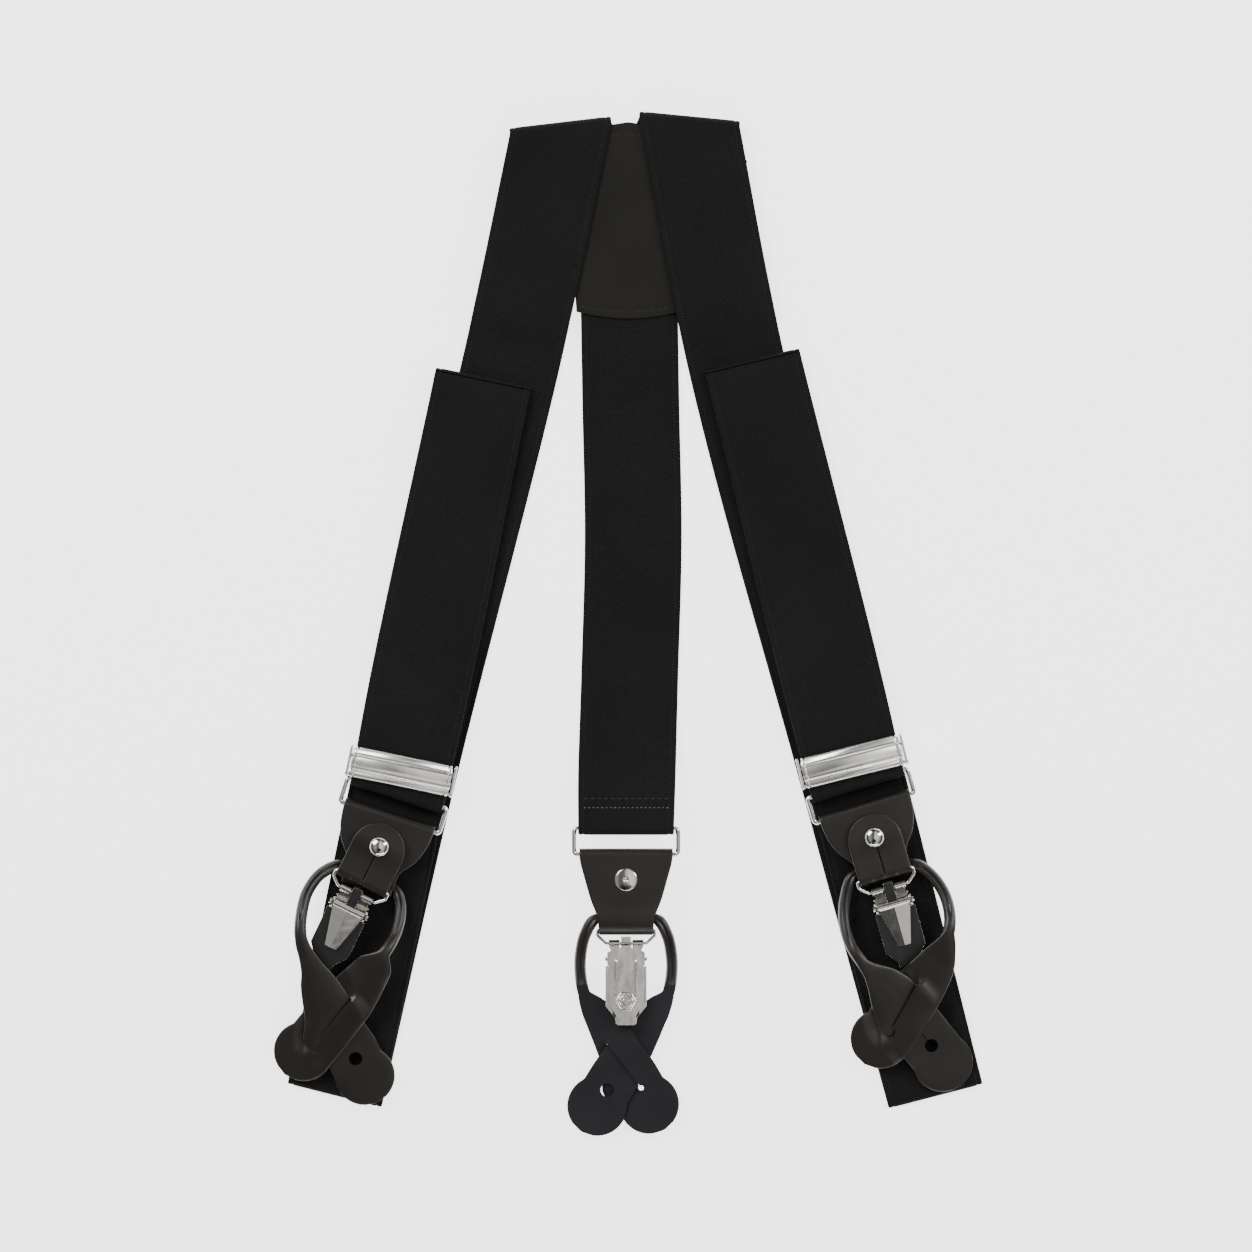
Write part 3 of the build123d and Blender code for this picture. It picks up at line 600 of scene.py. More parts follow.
def back_strap():
    """The centre strap from the patch to the back ring, with its sewn tail and two rows of stitches."""
    x, y, z = ring_bar("back")[0]
    low_left, low_right = vec(x - WRAP_HALF, y, 0), vec(x + WRAP_HALF, y, 0)
    places = [(0.2, 129.0), (1.0, 80.0), (1.9, 30.0), (0.6, -20.0), (x + 0.2, y + 14.0)]
    sections = [square_section(place, 0) for place in places] + [(low_left, low_right)]

    def height(point):
        rise = mix(PLY_MIDS[0], z + WRAP_MID, smooth((-28 - point.y) / (y * -1 - 28 + 4)))
        return rise if point.y < 60 else mix(PLY_MIDS[0], ARM_MID, smooth((point.y - 86) / 18))

    def tail_height(point):
        return mix(z - WRAP_MID, height(point) - PLY, smooth((point.y - y) / 9))

    up = vec(0, BACK_TAIL, 0)
    wrap = bend(low_left, low_right, vec(0, -1, 0), z - WRAP_MID, z + WRAP_MID, False)
    tail = run_between([(low_left, low_right), (low_left + up, low_right + up)], tail_height)
    web, length = ribbon("back_strap_web", run_between(sections, height) + wrap + tail)
    settle(web, "root", "elastic_webbing", "back_strap")
    rows = (("back_seam_stitches", 7.4, 1.5, 0.95, 0.17, THREAD_GREY),
            ("back_bar_stitches", 10.6, 2.3, 1.9, 0.3, THREAD))
    for name, above, pitch, stitch, radius, thread in rows:
        level = height(vec(0, y + above, 0)) + WEB_THICK / 2 + 0.02
        row = [vec(x - 15.6 + k * 1.2, y + above, level) for k in range(27)]
        settle(stitches(name, row, pitch, stitch, radius, thread), "root", "elastic_webbing")


# ---- plates, sweeps and stitches ----

def flat_plate(outline, thickness, edge, slices, holes=()):
    """A filled outline with rounded rims, cut into bands so that it can bend. Returns a bmesh."""
    curve = bpy.data.curves.new("plate", "CURVE")
    curve.dimensions = "2D"
    curve.fill_mode = "BOTH"
    curve.extrude = thickness / 2 - edge
    curve.bevel_depth = edge
    curve.bevel_resolution = 2
    curve.offset = -edge
    for loop in (outline, *holes):
        spline = curve.splines.new("POLY")
        spline.points.add(len(loop) - 1)
        for point, (x, y) in zip(spline.points, loop):
            point.co = (x, y, 0, 1)
        spline.use_cyclic_u = True
    holder = bpy.data.objects.new("plate", curve)
    mesh = bpy.data.meshes.new_from_object(holder)
    solid = bmesh.new()
    solid.from_mesh(mesh)
    bpy.data.objects.remove(holder)
    bmesh.ops.remove_doubles(solid, verts=solid.verts, dist=0.0005)
    ys = [v.co.y for v in solid.verts]
    xs = [v.co.x for v in solid.verts]
    for axis, low, high in ((1, min(ys), max(ys)), (0, min(xs), max(xs))):
        count = int((high - low) / slices)
        for k in range(1, count):
            at = low + (high - low) * k / count
            point = (0, at, 0) if axis else (at, 0, 0)
            normal = (0, 1, 0) if axis else (1, 0, 0)
            geometry = solid.verts[:] + solid.edges[:] + solid.faces[:]
            bmesh.ops.bisect_plane(solid, geom=geometry, dist=0.0001, plane_co=point, plane_no=normal)
    return solid


def finish_plate(name, solid, material, place, shape=None):
    """Bends a flat bmesh with shape(x, y, z) and makes it a piece."""
    if shape is not None:
        for vert in solid.verts:
            vert.co = shape(*vert.co)
    bmesh.ops.recalc_face_normals(solid, faces=solid.faces)
    mesh = bpy.data.meshes.new(name)
    solid.to_mesh(mesh)
    solid.free()
    mesh.transform(Matrix.Scale(MM, 4))
    mesh.transform(place)
    mesh.materials.append(material)
    shade_smooth(mesh, 40)
    return add_object(name, mesh)


def distances(points):
    """How far along a path each of its points is."""
    run = [0.0]
    for a, b in zip(points, points[1:]):
        run.append(run[-1] + (b - a).length)
    return run


def arc(centre, radius, start, stop, count):
    out = []
    for k in range(count + 1):
        a = radians(mix(start, stop, k / count))
        out.append((centre[0] + radius * cos(a), centre[1] + radius * sin(a)))
    return out


def along_path(points):
    """What bends flat y onto a path of (y, z) points, what finds a point of it, and its length."""
    lengths = distances(points)

    def at(distance):
        k = 0
        while k < len(points) - 2 and lengths[k + 1] < distance:
            k += 1
        a, b = points[k], points[k + 1]
        t = (distance - lengths[k]) / max(lengths[k + 1] - lengths[k], 1e-6)
        return a + (b - a) * t

    def shape(x, y, z):
        here = at(-y)
        tangent = (at(-y + 0.4) - at(-y - 0.4)).normalized()
        normal = Vector((-tangent.y, tangent.x))
        return vec(x, here.x + normal.x * z, here.y + normal.y * z)

    return shape, at, lengths[-1]


def sweep(name, centres, sides, ups, sections, material, place):
    """Skins closed sections, given as (side, up) offsets, along a path."""
    verts = []
    for centre, side, up, section in zip(centres, sides, ups, sections):
        for a, b in section:
            verts.append(centre + side * a + up * b)
    return new_piece(name, verts, skin(len(centres), len(sections[0])), material, place=place)


def stitches(name, points, pitch, length, radius, material):
    """A row of short rounded threads along a line of points."""
    verts, faces = [], []
    up = vec(0, 0, 1)
    rings, around = 7, 8
    run = distances(points)
    count = max(1, int(run[-1] / pitch))
    for n in range(count):
        distance = (n + 0.5) * run[-1] / count
        k = max(i for i in range(len(points) - 1) if run[i] <= distance)
        tangent = (points[k + 1] - points[k]).normalized()
        centre = points[k] + tangent * (distance - run[k])
        side = tangent.cross(up).normalized()
        faces += skin(rings, around, len(verts))
        for i in range(rings):
            t = -1 + 2 * i / (rings - 1)
            swell = sqrt(max(0.0, 1 - t * t)) * 0.85 + 0.15
            dip = up * (-radius * 0.9 * t * t)
            for j in range(around):
                a = 2 * pi * j / around
                offset = side * (cos(a) * radius * swell) + up * (sin(a) * radius * swell)
                verts.append(centre + tangent * (t * length / 2) + offset + dip)
    return new_piece(name, verts, faces, material)


# ---- patch ----

def patch_curve(reach, inset=0.0):
    """The patch's rounded lower edge, to an angle either side of its middle."""
    centre = (0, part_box("patch_lining")[0].y / MM + PATCH_CURVE)
    return [(x, y + inset) for x, y in arc(centre, PATCH_CURVE, 270 - reach, 270 + reach, 14)]


def patch_outline():
    right = [(19.0, 118.0), (24.5, 132.0), (43.0, 166.0), (41.0, 168.6), (9.0, 178.8)]
    top = [(0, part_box("patch_lining")[1].y / MM - 0.05)]
    return patch_curve(16) + right + top + [(-x, y) for x, y in right[::-1]]


def patch():
    outline = patch_outline()
    plates = (("patch_lining_leather", "patch_lining", 1.0, 0.25, PATCH, "lining_leather"),
              ("patch_outer_leather", "patch_outer", 1.2, 0.3, LEATHER, "patch_leather"))
    for name, node, thickness, edge, material, slot in plates:
        low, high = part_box(node)
        solid = flat_plate(outline, thickness, edge, 6)
        place = Matrix.Translation((0, 0, (low.z + high.z) / 2))
        settle(finish_plate(name, solid, material, place), "root", slot, node)
    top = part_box("patch_lining")[1].z / MM
    lower_row = [vec(x, y, top) for x, y in patch_curve(15, 2.4)]
    upper_row = [vec(x, 175.6 - x * x * 0.012, top) for x in (-10, -7, -4, -1, 2, 5, 8)]
    for name, row in (("patch_lower_stitches", lower_row), ("patch_upper_stitches", upper_row)):
        settle(stitches(name, row, 2.5, 1.9, 0.22, THREAD), "root", "lining_leather")


# ---- yoke, flap, stud ----

def yoke_half_width(side, y):
    stops = YOKE_EDGES["back" if side == "back" else "front"]
    return between([(-at, half) for at, half in stops], -y)[0]


def yoke(side):
    """One piece of leather, folded over the ring's bar and pinched together at its lower end."""
    place = facing(side, joint_place(side + "_yoke_swing"))
    length = YOKE_LENGTH[side]
    path = []
    for k in range(24):
        y = mix(-length, 0, k / 24)
        pinch = mix(0.62, YOKE_FOLD, smooth((y + length) / 3.5)) + 0.28 * smooth(1 - abs(y + 23.0) / 5)
        path.append(Vector((y, -pinch)))
    path += [Vector(point) for point in arc((0, 0), YOKE_FOLD, -90, 90, 12)]
    path += [Vector((p.x, -p.y)) for p in path[23::-1]]
    shape, at, total = along_path(path)
    places = [total * k / 60 for k in range(61)]
    right = [(yoke_half_width(side, at(distance).x), -distance) for distance in places]
    outline = right + [(-x, y) for x, y in right[::-1]]
    solid = flat_plate(outline, 1.15, 0.28, 1.1)
    piece = finish_plate(side + "_yoke_leather", solid, LEATHER, place, shape)
    settle(piece, side + "_yoke_body", "smooth_leather", side + "_yoke")


def flap_frame(side):
    """Frame at the bail's fold axis and the stud's distance above it."""
    place = facing(side, joint_place(side + "_bail_swing"))
    stud_low, stud_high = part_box(side + "_stud")
    middle = (stud_low + stud_high) / 2
    flat = Vector((middle.x, middle.y, place.translation.z))
    return place, (flat - place.translation).length / MM


def flap(side):
    """A round-ended strip folded over the bail, with the stud's keyhole in front and a hole behind."""
    place, drop = flap_frame(side)
    top = drop + FLAP_ABOVE_STUD
    path = []
    for k in range(20):
        y = mix(top, 0, k / 20)
        lift = 0.35 * smooth(1 - abs(y - drop) / 7)
        path.append(Vector((y, FLAP_FOLD - 0.05 + lift)))
    path += [Vector(point) for point in arc((0, 0), FLAP_FOLD, 90, 270, 12)]
    path += [Vector((mix(0, top, k / 20), -FLAP_FOLD)) for k in range(1, 21)]
    shape, _, total = along_path(path)
    outline = arc((0, -FLAP_HALF), FLAP_HALF, 0, 180, 24)
    outline += arc((0, -total + FLAP_HALF), FLAP_HALF, 180, 360, 24)
    slit_end = -top + 0.4
    keyhole = arc((0, -FLAP_ABOVE_STUD), FLAP_HOLE, -83, 263, 22) + [(-0.16, slit_end), (0.16, slit_end)]
    far_hole = arc((0, -total + FLAP_ABOVE_STUD), FLAP_HOLE, 0, 350, 20)
    solid = flat_plate(outline, 1.05, 0.24, 1.0, (keyhole, far_hole))
    piece = finish_plate(side + "_clip_flap_leather", solid, LEATHER, place, shape)
    settle(piece, side + "_yoke_body", "smooth_leather", side + "_clip_flap")


def lathe(name, profile, material, place):
    """Turns (radius, height) points about z."""
    verts = []
    count = 40
    for radius, height in profile:
        for k in range(count):
            a = 2 * pi * k / count
            verts.append(vec(radius * cos(a), radius * sin(a), height))
    return new_piece(name, verts, skin(len(profile), count), material, place=place)


def bulge(radius, level, height, angles):
    """Profile points of a rounded top or underside, by angle in degrees."""
    turns = [radians(angle) for angle in angles]
    return [(radius * cos(a), level + height * sin(a)) for a in turns]


def stud(side):
    """The stud's neck and ball on the flap's side, and its dimpled cap on the other."""
    place, drop = flap_frame(side)
    here = place @ Matrix.Translation((0, drop * MM, 0))
    seat = 1.95
    profile = [(1.5, -6.4), (1.5, seat - 0.4), (1.75, seat), (2.6, seat + 0.15), (3.25, seat + 0.55)]
    profile += bulge(3.5, seat + 1.15, 1.55, range(0, 88, 8)) + [(0.02, seat + 2.7)]
    ball = lathe(side + "_stud_ball", profile, NICKEL_WIRE, here)
    settle(ball, side + "_yoke_body", "stud_nickel", side + "_stud")
    low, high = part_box(side + "_stud_cap")
    middle = (low + high) / 2
    depth = (high.z - low.z) / MM
    cap_place = here.copy()
    cap_place.translation = Vector((middle.x, middle.y, high.z if side != "back" else low.z))
    dome = [(0.02, 0.0), (4.05, 0.0), (4.1, -0.15), (4.0, -0.3)] + bulge(4.0, -0.3, -0.46, range(10, 76, 9))
    dome += [(0.85, -depth), (0.7, -depth + 0.12), (0.55, -depth + 0.3), (0.02, -depth + 0.32)]
    cap = lathe(side + "_stud_cap_dome", dome, NICKEL_WIRE, cap_place)
    settle(cap, side + "_yoke_body", "stud_nickel", side + "_stud_cap")


# ---- rolled loop and tabs ----

def tab_level(side, y):
    """Height of a strip's middle above the ring plane."""
    slope = tan(radians(TABS[side]["slope"]))
    return STRIP_BOTTOM + slope * (y - SLOPE_HINGE_Y) + STRIP_HEIGHT


def half_section(left, right, height, groove, power):
    """Closed section that goes from a grooved round cord to a flat strip."""
    out = []
    count = 36
    for k in range(count):
        a = 2 * pi * k / count
        c, s = cos(a), sin(a)
        x = (right if c > 0 else left) * copysign(abs(c) ** power, c)
        z = height * copysign(abs(s) ** power, s)
        if groove > 0:
            z -= copysign(groove * exp(-(x / 0.55) ** 2), s)
        out.append((x, z))
    return out


def strip_axis(side, which):
    """A strip's start in plan and its direction to its ear, with the distance between them."""
    cord, ear = TABS[side]["cords"][which], TABS[side]["ears"][which]
    start = vec(*cord[-1], 0)
    reach = vec(*ear, 0) - start
    return start, reach.normalized(), reach.length


def strip_route(side, which):
    """Points down one cord, along its strip and to the tip of its round ear."""
    cord = TABS[side]["cords"][which]
    start, axis, reach = strip_axis(side, which)
    inward = copysign(1.0, cord[0][0])
    levels = [0.0, 0.2, 1.6, 3.8, tab_level(side, start.y)]
    points = [vec(inward * 8.0, cord[0][1] + 1.6, 0.0)]
    points += [vec(x, y, z) for (x, y), z in zip(cord, levels)]
    along = [reach * share for share in (0.25, 0.5, 0.75, 1.0)] + [reach + EAR_RADIUS - 0.02]
    for spot in [start + axis * distance for distance in along]:
        points.append(vec(spot.x, spot.y, tab_level(side, spot.y)))
    return points


def tab_half(side, which):
    """One side of the loop: from the yoke, down the cord, into the strip and its round ear."""
    steps = 12
    centres = curve_through(strip_route(side, which), steps)
    run = distances(centres)
    cord_end = run[5 * steps]
    ear_at = run[9 * steps]
    sides, ups, sections = [], [], []
    for i, s in enumerate(run):
        before, after = centres[max(i - 1, 0)], centres[min(i + 1, len(centres) - 1)]
        tangent = (after - before).normalized()
        side_way = -tangent.cross(vec(0, 0, 1)).normalized()
        flat = smooth((s - cord_end + 8) / 12)
        root = smooth(s / 5.0)
        from_ear = s - ear_at
        halves = []
        for half in between(TABS[side]["flares"][which], s - cord_end):
            half = mix(CORD_HALF, half, flat)
            if from_ear > -EAR_RADIUS:
                disc = sqrt(max(0.0, EAR_RADIUS ** 2 - from_ear ** 2))
                half = mix(max(half, disc), disc, smooth((from_ear + 3) / 3))
            halves.append(max(half * mix(0.6, 1, root), 0.05))
        thick = mix(1.2, mix(CORD_HEIGHT, STRIP_HEIGHT, flat), root)
        groove = mix(0.75, 0.0, smooth((s - cord_end + 12) / 9)) * root
        crown = 0.55 * flat * (1 - smooth((s - cord_end - 26) / 14))
        section = half_section(*halves, thick, groove, mix(1.0, 0.38, flat))
        sections.append([(a, b - crown * (a / max(halves)) ** 2) for a, b in section])
        sides.append(side_way)
        ups.append(side_way.cross(-tangent).normalized())
    place = facing(side, joint_place(side + "_yoke_swing"))
    name = side + ("_tab_under", "_tab_over")[which]
    return sweep(name, centres, sides, ups, sections, LEATHER, place), place


def subdivide_strip(piece):
    """Adds loops across the strip so that it can bend sideways too."""
    fine = bmesh.new()
    fine.from_mesh(piece.data)
    wide = [e for e in fine.edges if e.calc_length() > 2.2 * MM and len(e.link_faces) == 2]
    bmesh.ops.subdivide_edges(fine, edges=wide, cuts=3, use_grid_fill=True)
    bmesh.ops.triangulate(fine, faces=[f for f in fine.faces if len(f.verts) > 4])
    fine.to_mesh(piece.data)
    fine.free()


def weave_tabs(side):
    """The under strip passes through the over strip's slit, which dips on one side and rises on the other."""
    spec = TABS[side]
    under, place = tab_half(side, 0)
    over, place = tab_half(side, 1)
    lower_start, lower_axis, lower_reach = strip_axis(side, 0)
    low_hole, hole = [vec(*spot, 0) for spot in spec["holes"]]
    slit_top = vec(*spec["slit_top"], 0)
    cut_round(under, place, low_hole, BUTTON_HOLE)
    if spec["low_slit"]:
        cut_slit(under, place, low_hole, low_hole - lower_axis * 9)
    cut_round(over, place, hole, spec["slit_hole"])
    cut_slit(over, place, hole, slit_top)
    for piece in (under, over):
        subdivide_strip(piece)
    slit = (slit_top - hole).normalized()
    slit_length = (slit_top - hole).length
    across = vec(slit.y, -slit.x, 0)
    lower_across = vec(lower_axis.y, -lower_axis.x, 0)

    def over_lift(flat, beside, up_slit):
        off = (flat - lower_start).dot(lower_across)
        along = (flat - lower_start).dot(lower_axis)
        left, right = between(spec["flares"][0], max(0.0, along))
        outside = max(off - left, -off - right, 0.0)
        window = smooth(1 - outside / 5.0) * smooth((along - 2) / 7) * smooth((lower_reach + 12 - along) / 6)
        past_slit = max(up_slit - slit_length, -up_slit, 0.0)
        sharp = mix(0.1, 2.6, smooth(past_slit / 3.0))
        return WEAVE_RISE * tanh(beside / sharp) * window

    def under_lift(flat, beside, up_slit):
        near = smooth(1 - abs(beside) / 9) * smooth((up_slit + 6) / 8)
        near *= smooth((slit_length + 6 - up_slit) / 8)
        return -0.35 * tanh(beside / 4) * near - 0.5 * smooth((beside - 6) / 10)

    inverse = place.inverted()
    turn = place.to_3x3()
    for piece, lift in ((over, over_lift), (under, under_lift)):
        for vert in piece.data.vertices:
            local = inverse @ vert.co / MM
            flat = vec(local.x, local.y, 0)
            out = flat - hole
            vert.co += turn @ vec(0, 0, lift(flat, out.dot(across), out.dot(slit)) * MM)
    sideways = Matrix.Translation((0, BRIDGE_Y * MM, 0)) @ Matrix.Rotation(pi / 2, 4, "Y")
    profile = [(0.9, -9.5), (1.0, -8), (1.0, 8), (0.9, 9.5)]
    bridge = lathe(side + "_loop_bridge", profile, LEATHER, place @ sideways)
    for piece in (under, over, bridge):
        settle(piece, side + "_loop", "rolled_leather")
        shade_smooth(piece.data, 50)
    flesh_under((under, over), place)
    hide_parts(side + "_button_loop")


def boolean_cut(piece, cutter):
    """Cuts one object out of another and removes the cutter."""
    modifier = piece.modifiers.new("cut", "BOOLEAN")
    modifier.operation = "DIFFERENCE"
    modifier.solver = "EXACT"
    modifier.object = cutter
    graph = bpy.context.evaluated_depsgraph_get()
    result = bpy.data.meshes.new_from_object(piece.evaluated_get(graph))
    piece.modifiers.clear()
    piece.data = result
    bpy.data.objects.remove(cutter)


def cut_round(piece, place, hole, radius):
    here = place @ Matrix.Translation((hole.x * MM, hole.y * MM, 4 * MM))
    boolean_cut(piece, lathe("cutter", [(radius, -12), (radius, 12)], LEATHER, here))


def cut_slit(piece, place, start, stop):
    along = (stop - start).normalized()
    across = vec(-along.y, along.x, 0) * (SLIT_WIDTH / 2)
    corners = [start - across, start + across, stop + across, stop - across]
    verts = [c + vec(0, 0, -10) for c in corners] + [c + vec(0, 0, 16) for c in corners]
    faces = [(0, 1, 2, 3), (4, 5, 6, 7), (0, 1, 5, 4), (1, 2, 6, 5), (2, 3, 7, 6), (3, 0, 4, 7)]
    boolean_cut(piece, new_piece("cutter", verts, faces, LEATHER, place=place))


def flesh_under(strips, place):
    """The back of the flat leather is the matt flesh side."""
    away = -(place.to_3x3() @ vec(0, 0, 1)).normalized()
    inverse = place.inverted()
    for piece in strips:
        piece.data.materials.append(FLESH)
        for polygon in piece.data.polygons:
            local = inverse @ polygon.center / MM
            if polygon.normal.dot(away) > 0.3 and local.y < FLESH_BELOW_Y:
                polygon.material_index = 1


# ---- metal ----

def softened(node, material, slot, width, angle=30):
    """The CAD node's own shape with its sharp edges rounded over, as pressed and plated sheet has."""
    source = frame["nodes"][node]
    solid = bmesh.new()
    solid.from_mesh(source.data)
    solid.transform(source.matrix_world)
    bmesh.ops.remove_doubles(solid, verts=solid.verts, dist=0.002 * MM)
    bmesh.ops.dissolve_limit(solid, angle_limit=radians(1.0), verts=solid.verts, edges=solid.edges)
    inner = [e for e in solid.edges if len(e.link_faces) == 2]
    sharp = [e for e in inner if e.calc_face_angle() > radians(angle)]
    bmesh.ops.bevel(solid, geom=sharp, offset=width * MM, segments=2, profile=0.5, affect="EDGES",
                    clamp_overlap=True)
    mesh = bpy.data.meshes.new(node + "_plated")
    solid.to_mesh(mesh)
    solid.free()
    mesh.materials.append(material)
    shade_smooth(mesh, 32)
    piece = add_object(node + "_plated", mesh)
    flatten = piece.modifiers.new("flat_faces", "WEIGHTED_NORMAL")
    flatten.keep_sharp = True
    settle(piece, BODY_OF[node], slot, node)
    return piece


def painted_dark_reflection_faces(piece, material, place, below):
    """Gives the front faces under a level of the clip a second, black material: a painted dark reflection on
    the jaw's nickel.
    """
    up = place.to_3x3() @ vec(0, 0, 1)
    inverse = place.inverted()
    piece.data.materials.append(material)
    for polygon in piece.data.polygons:
        if polygon.normal.dot(up) > 0.97 and (inverse @ polygon.center).y < below * MM:
            polygon.material_index = 1


def clip_frame(side):
    """The clip's own place: its hinge on the bail, pitched as the bail lies, z out of its face."""
    pitch = radians(6.0 if side == "back" else 9.0)
    return facing(side, joint_place(side + "_clip_swing")) @ Matrix.Rotation(pitch, 4, "X")


def ring_of(radius, level, steps):
    """Points round the rivet, back to the first."""
    return [vec(x, y, level) for x, y in arc((0, RIVET_Y), radius, 0, 360, steps)]


def rib_trim(side):
    """Two pressed ribs, the raised hexagon and the rivet's rim on the clip's back plate."""
    place = clip_frame(side)
    pieces = []
    for way, name in ((-1, "_rib_left"), (1, "_rib_right")):
        points = [vec(way * 3.5, -5.3 - 0.77 * k, CLIP_PLATE) for k in range(20)]
        pieces.append(round_bar(side + name, points, 0.6, place))
    pieces.append(round_bar(side + "_rivet_rim", ring_of(RIVET_RADIUS, CLIP_PLATE - 0.3, 24), 0.3, place))
    corners = ring_of(HEXAGON_RADIUS, CLIP_PLATE - 0.1, 6)
    hexagon = [a.lerp(b, t / 6) for a, b in zip(corners, corners[1:]) for t in range(6)]
    pieces.append(round_bar(side + "_hexagon_edge", hexagon + hexagon[:1], 0.42, place))
    for piece in pieces:
        settle(piece, side + "_clip", "clip_nickel")


def round_bar(name, points, radius, place):
    """A raised bead that follows points on a flat plate. Its ends taper unless it is closed."""
    turns = [2 * pi * k / 10 for k in range(10)]
    closed = (points[0] - points[-1]).length < 0.01
    sides, sections = [], []
    for i in range(len(points)):
        before, after = points[max(i - 1, 0)], points[min(i + 1, len(points) - 1)]
        tangent = (after - before).normalized()
        sides.append(vec(-tangent.y, tangent.x, 0))
        size = radius * (0.35 if i in (0, len(points) - 1) and not closed else 1.0)
        sections.append([(size * cos(a), size * sin(a)) for a in turns])
    return sweep(name, points, sides, [vec(0, 0, 1)] * len(points), sections, NICKEL_WIRE, place)


# The pressed cover's outline across its hinge, and how it narrows into a knob at each end.
COVER_PROFILE = (
    (-0.78, -0.5), (-0.98, -0.1), (-0.85, 0.36), (-0.45, 0.74), (0.4, 0.86), (1.3, 0.78), (1.75, 0.62),
    (2.05, 0.72), (2.4, 0.98), (2.75, 0.76), (3.1, 0.6), (4.2, 0.72), (5.4, 0.74), (6.5, 0.66), (6.95, 0.6),
    (7.3, 0.76), (7.6, 0.98), (7.95, 0.74), (8.3, 0.58), (9.2, 0.42), (9.85, 0.05), (10.2, -0.55),
    (9.9, -0.75), (9.3, -0.4), (7.0, -0.2), (4.0, -0.2), (1.2, -0.25), (0.3, -0.6),
)
COVER_ENDS = (
    (18.3, 0.5), (18.15, 0.8), (17.7, 0.97), (17.2, 1.0), (16.9, 1.0), (16.75, 0.9), (16.5, 0.9),
    (16.35, 1.0),
)


def cover(side):
    """The adjuster's pressed cover, with two long ridges and a round knob at each end."""
    place = facing(side, joint_place(side + "_cover_hinge"))
    stations = [(-x, size) for x, size in COVER_ENDS] + [(x, size) for x, size in COVER_ENDS[::-1]]
    middle = vec(0, 4.6, 0.1)
    verts = []
    for x, size in stations:
        for y, z in COVER_PROFILE:
            verts.append(vec(x, middle.y + (y - middle.y) * size, middle.z + (z - middle.z) * size))
    faces = skin(len(stations), len(COVER_PROFILE))
    piece = new_piece(side + "_cover_plate", verts, faces, NICKEL_SATIN, place=place)
    piece.data.set_sharp_from_angle(angle=radians(38))
    settle(piece, side + "_cover", "adjuster_nickel", side + "_adjuster_cover")


def metal(side):
    """The clip, bail, ring and adjuster: softened CAD shapes, or CAD nodes with a better material."""
    softened(side + "_clip_back_plate", NICKEL, "clip_nickel", 0.16)
    jaw = softened(side + "_clip_front_jaw", NICKEL, "clip_nickel", 0.3)
    # The jaw's lower front faces get the black pad material: a painted dark reflection on the nickel.
    painted_dark_reflection_faces(jaw, PAD_PLASTIC_AND_PAINTED_REFLECTION, clip_frame(side), -8.4)
    rib_trim(side)
    softened(side + "_clip_lever", NICKEL, "clip_nickel", 0.2, 12)
    softened(side + "_pad_rivet", NICKEL_WIRE, "clip_nickel", 0.2)
    give(side + "_ring", NICKEL_WIRE)
    give(side + "_bail", NICKEL_WIRE)
    give(side + "_clip_pin", NICKEL)
    give(side + "_clip_pad", PAD_PLASTIC_AND_PAINTED_REFLECTION)
    if side != "back":
        cover(side)
        softened(side + "_adjuster_frame", NICKEL_SATIN, "adjuster_nickel", 0.15)
        give(side + "_adjuster_pins", NICKEL_SATIN)


def give(node, material):
    data = frame["nodes"][node].data
    data.materials.clear()
    data.materials.append(material)


# ---- stage ----

def area_light(name, place, size, power):
    """A rectangular light that points at the origin."""
    light = bpy.data.lights.new(name, "AREA")
    light.shape = "RECTANGLE"
    light.size, light.size_y = size
    light.energy = power
    obj = add_object(name, light)
    obj.location = place
    obj.rotation_euler = (-Vector(place)).to_track_quat("-Z", "Y").to_euler()


def floor():
    """A plain floor just below the object, which glows so that it shows as white."""
    mesh = bpy.data.meshes.new("floor")
    reach, level = 3.0, -0.0002
    corners = [(-reach, -reach, level), (reach, -reach, level), (reach, reach, level), (-reach, reach, level)]
    mesh.from_pydata(corners, [], [(0, 1, 2, 3)])
    material, _, shader = node_material("floor_white", (0.93, 0.93, 0.93), 0.9)
    shader.inputs["Emission Color"].default_value = (1, 1, 1, 1)
    shader.inputs["Emission Strength"].default_value = 2.6
    mesh.materials.append(material)
    add_object("floor", mesh)


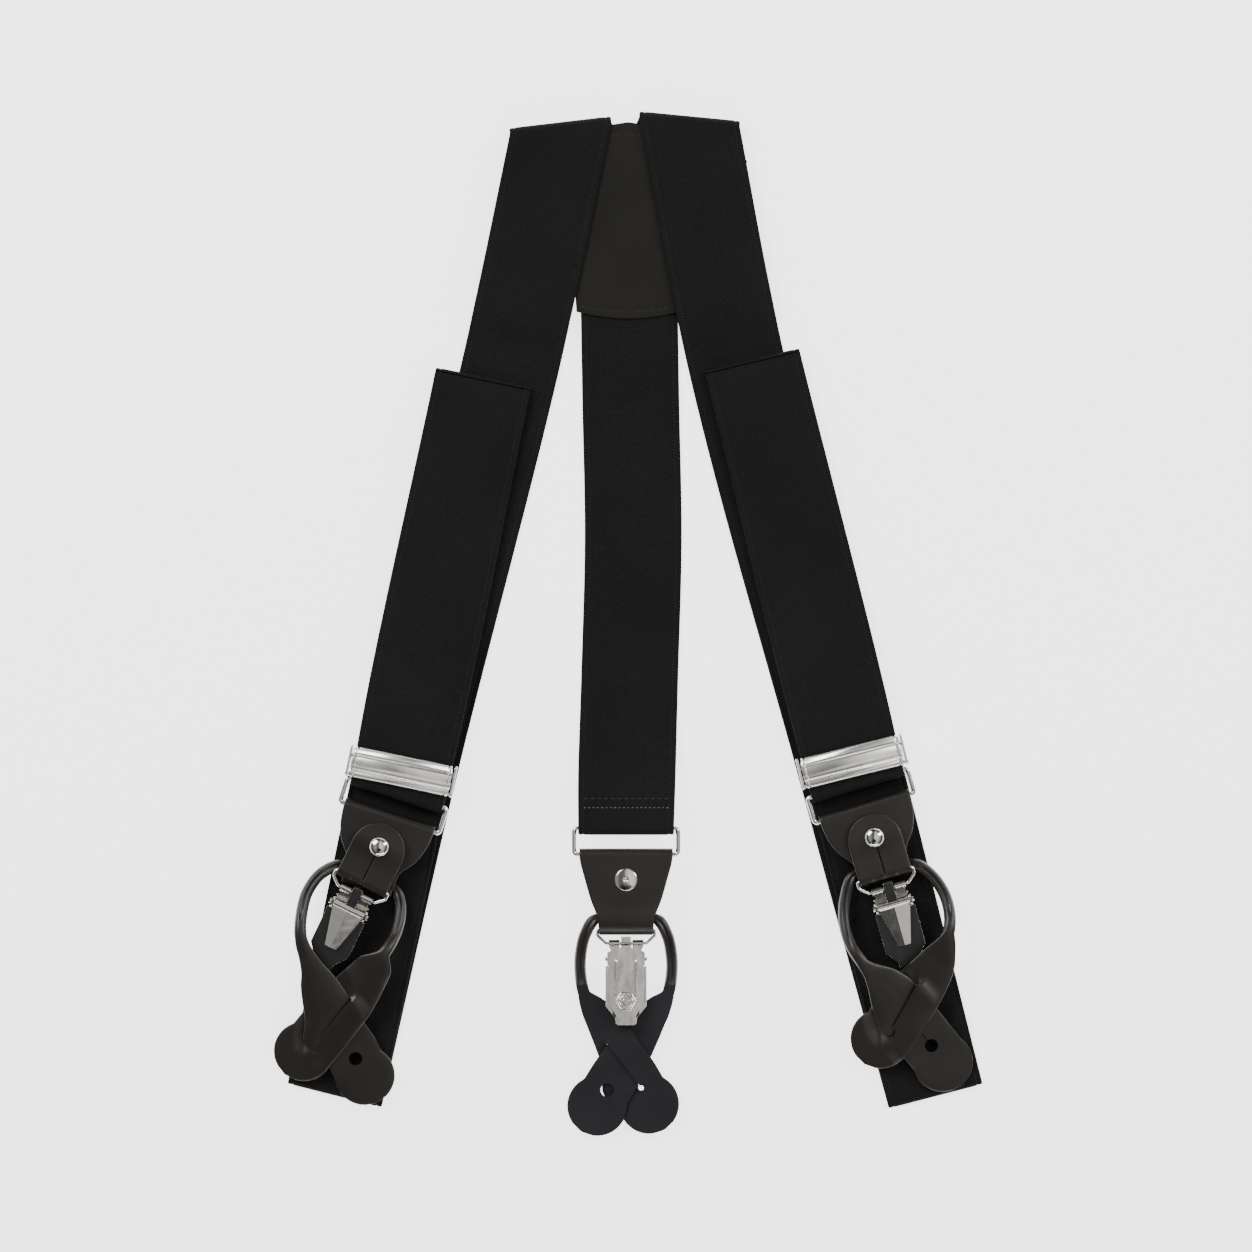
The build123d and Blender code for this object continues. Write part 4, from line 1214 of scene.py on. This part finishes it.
def studio():
    """Soft surroundings, with darker parts overhead that the polished metal reflects."""
    world = bpy.data.worlds.new("studio")
    bpy.context.scene.world = world
    world.use_nodes = True
    tree = world.node_tree
    background = tree.nodes["Background"]
    coords = tree.nodes.new("ShaderNodeTexCoord")
    split = tree.nodes.new("ShaderNodeSeparateXYZ")
    tree.links.new(coords.outputs["Generated"], split.inputs[0])
    x, y, z = split.outputs[0], split.outputs[1], split.outputs[2]
    grey = ((0.0, 0.9), (0.30, 0.85), (0.42, 0.10), (0.70, 0.06), (0.86, 0.40), (1.0, 0.62))
    shade = ramp(z, [(at, (level, level * 0.99, level * 0.97)) for at, level in grey])
    bands = ((0.0, 1.0), (0.30, 0.8), (0.42, 0.18), (0.475, 0.25), (0.50, 1.0), (0.56, 1.9), (0.66, 1.5),
             (1.0, 1.0))
    stripe = ramp(plus(times(x, 0.5), 0.5), [(at, (level,) * 3) for at, level in bands])
    aside = maths("DIVIDE", x, 0.2)
    ahead = maths("DIVIDE", plus(y, 0.33), 0.17)
    away = plus(times(aside, aside), times(ahead, ahead))
    dim = ((0.0, 0.04), (0.35, 0.06), (0.8, 1.0))
    spot = ramp(times(away, 0.5), [(at, (level,) * 3) for at, level in dim])
    light = shade
    for factor in (stripe, spot):
        product = tree.nodes.new("ShaderNodeVectorMath")
        product.operation = "MULTIPLY"
        tree.links.new(light, product.inputs[0])
        tree.links.new(factor, product.inputs[1])
        light = product.outputs[0]
    tree.links.new(light, background.inputs[0])
    background.inputs[1].default_value = 1.0
    area_light("key", (-0.85, 0.75, 1.15), (0.8, 0.8), 17)
    area_light("fill", (1.0, 0.45, 0.9), (0.35, 1.1), 9)
    area_light("low", (0.1, -1.2, 0.8), (1.3, 0.3), 5)


def camera():
    """Straight above the middle of the object, far enough away to be almost flat."""
    lens = bpy.data.cameras.new("camera")
    distance = 2.2
    width = 0.45072
    lens.sensor_width = 36
    lens.lens = 36 * distance / width
    obj = add_object("camera", lens)
    obj.location = (-0.00072, -0.00126, distance + 0.004)
    bpy.context.scene.camera = obj


# ---- assembly ----

floor()
studio()
camera()
for side in STRAPS:
    corners = front_strap(side)
    strap_end(side, *corners)
back_strap()
patch()
for side in TABS:
    yoke(side)
    flap(side)
    stud(side)
    weave_tabs(side)
    metal(side)
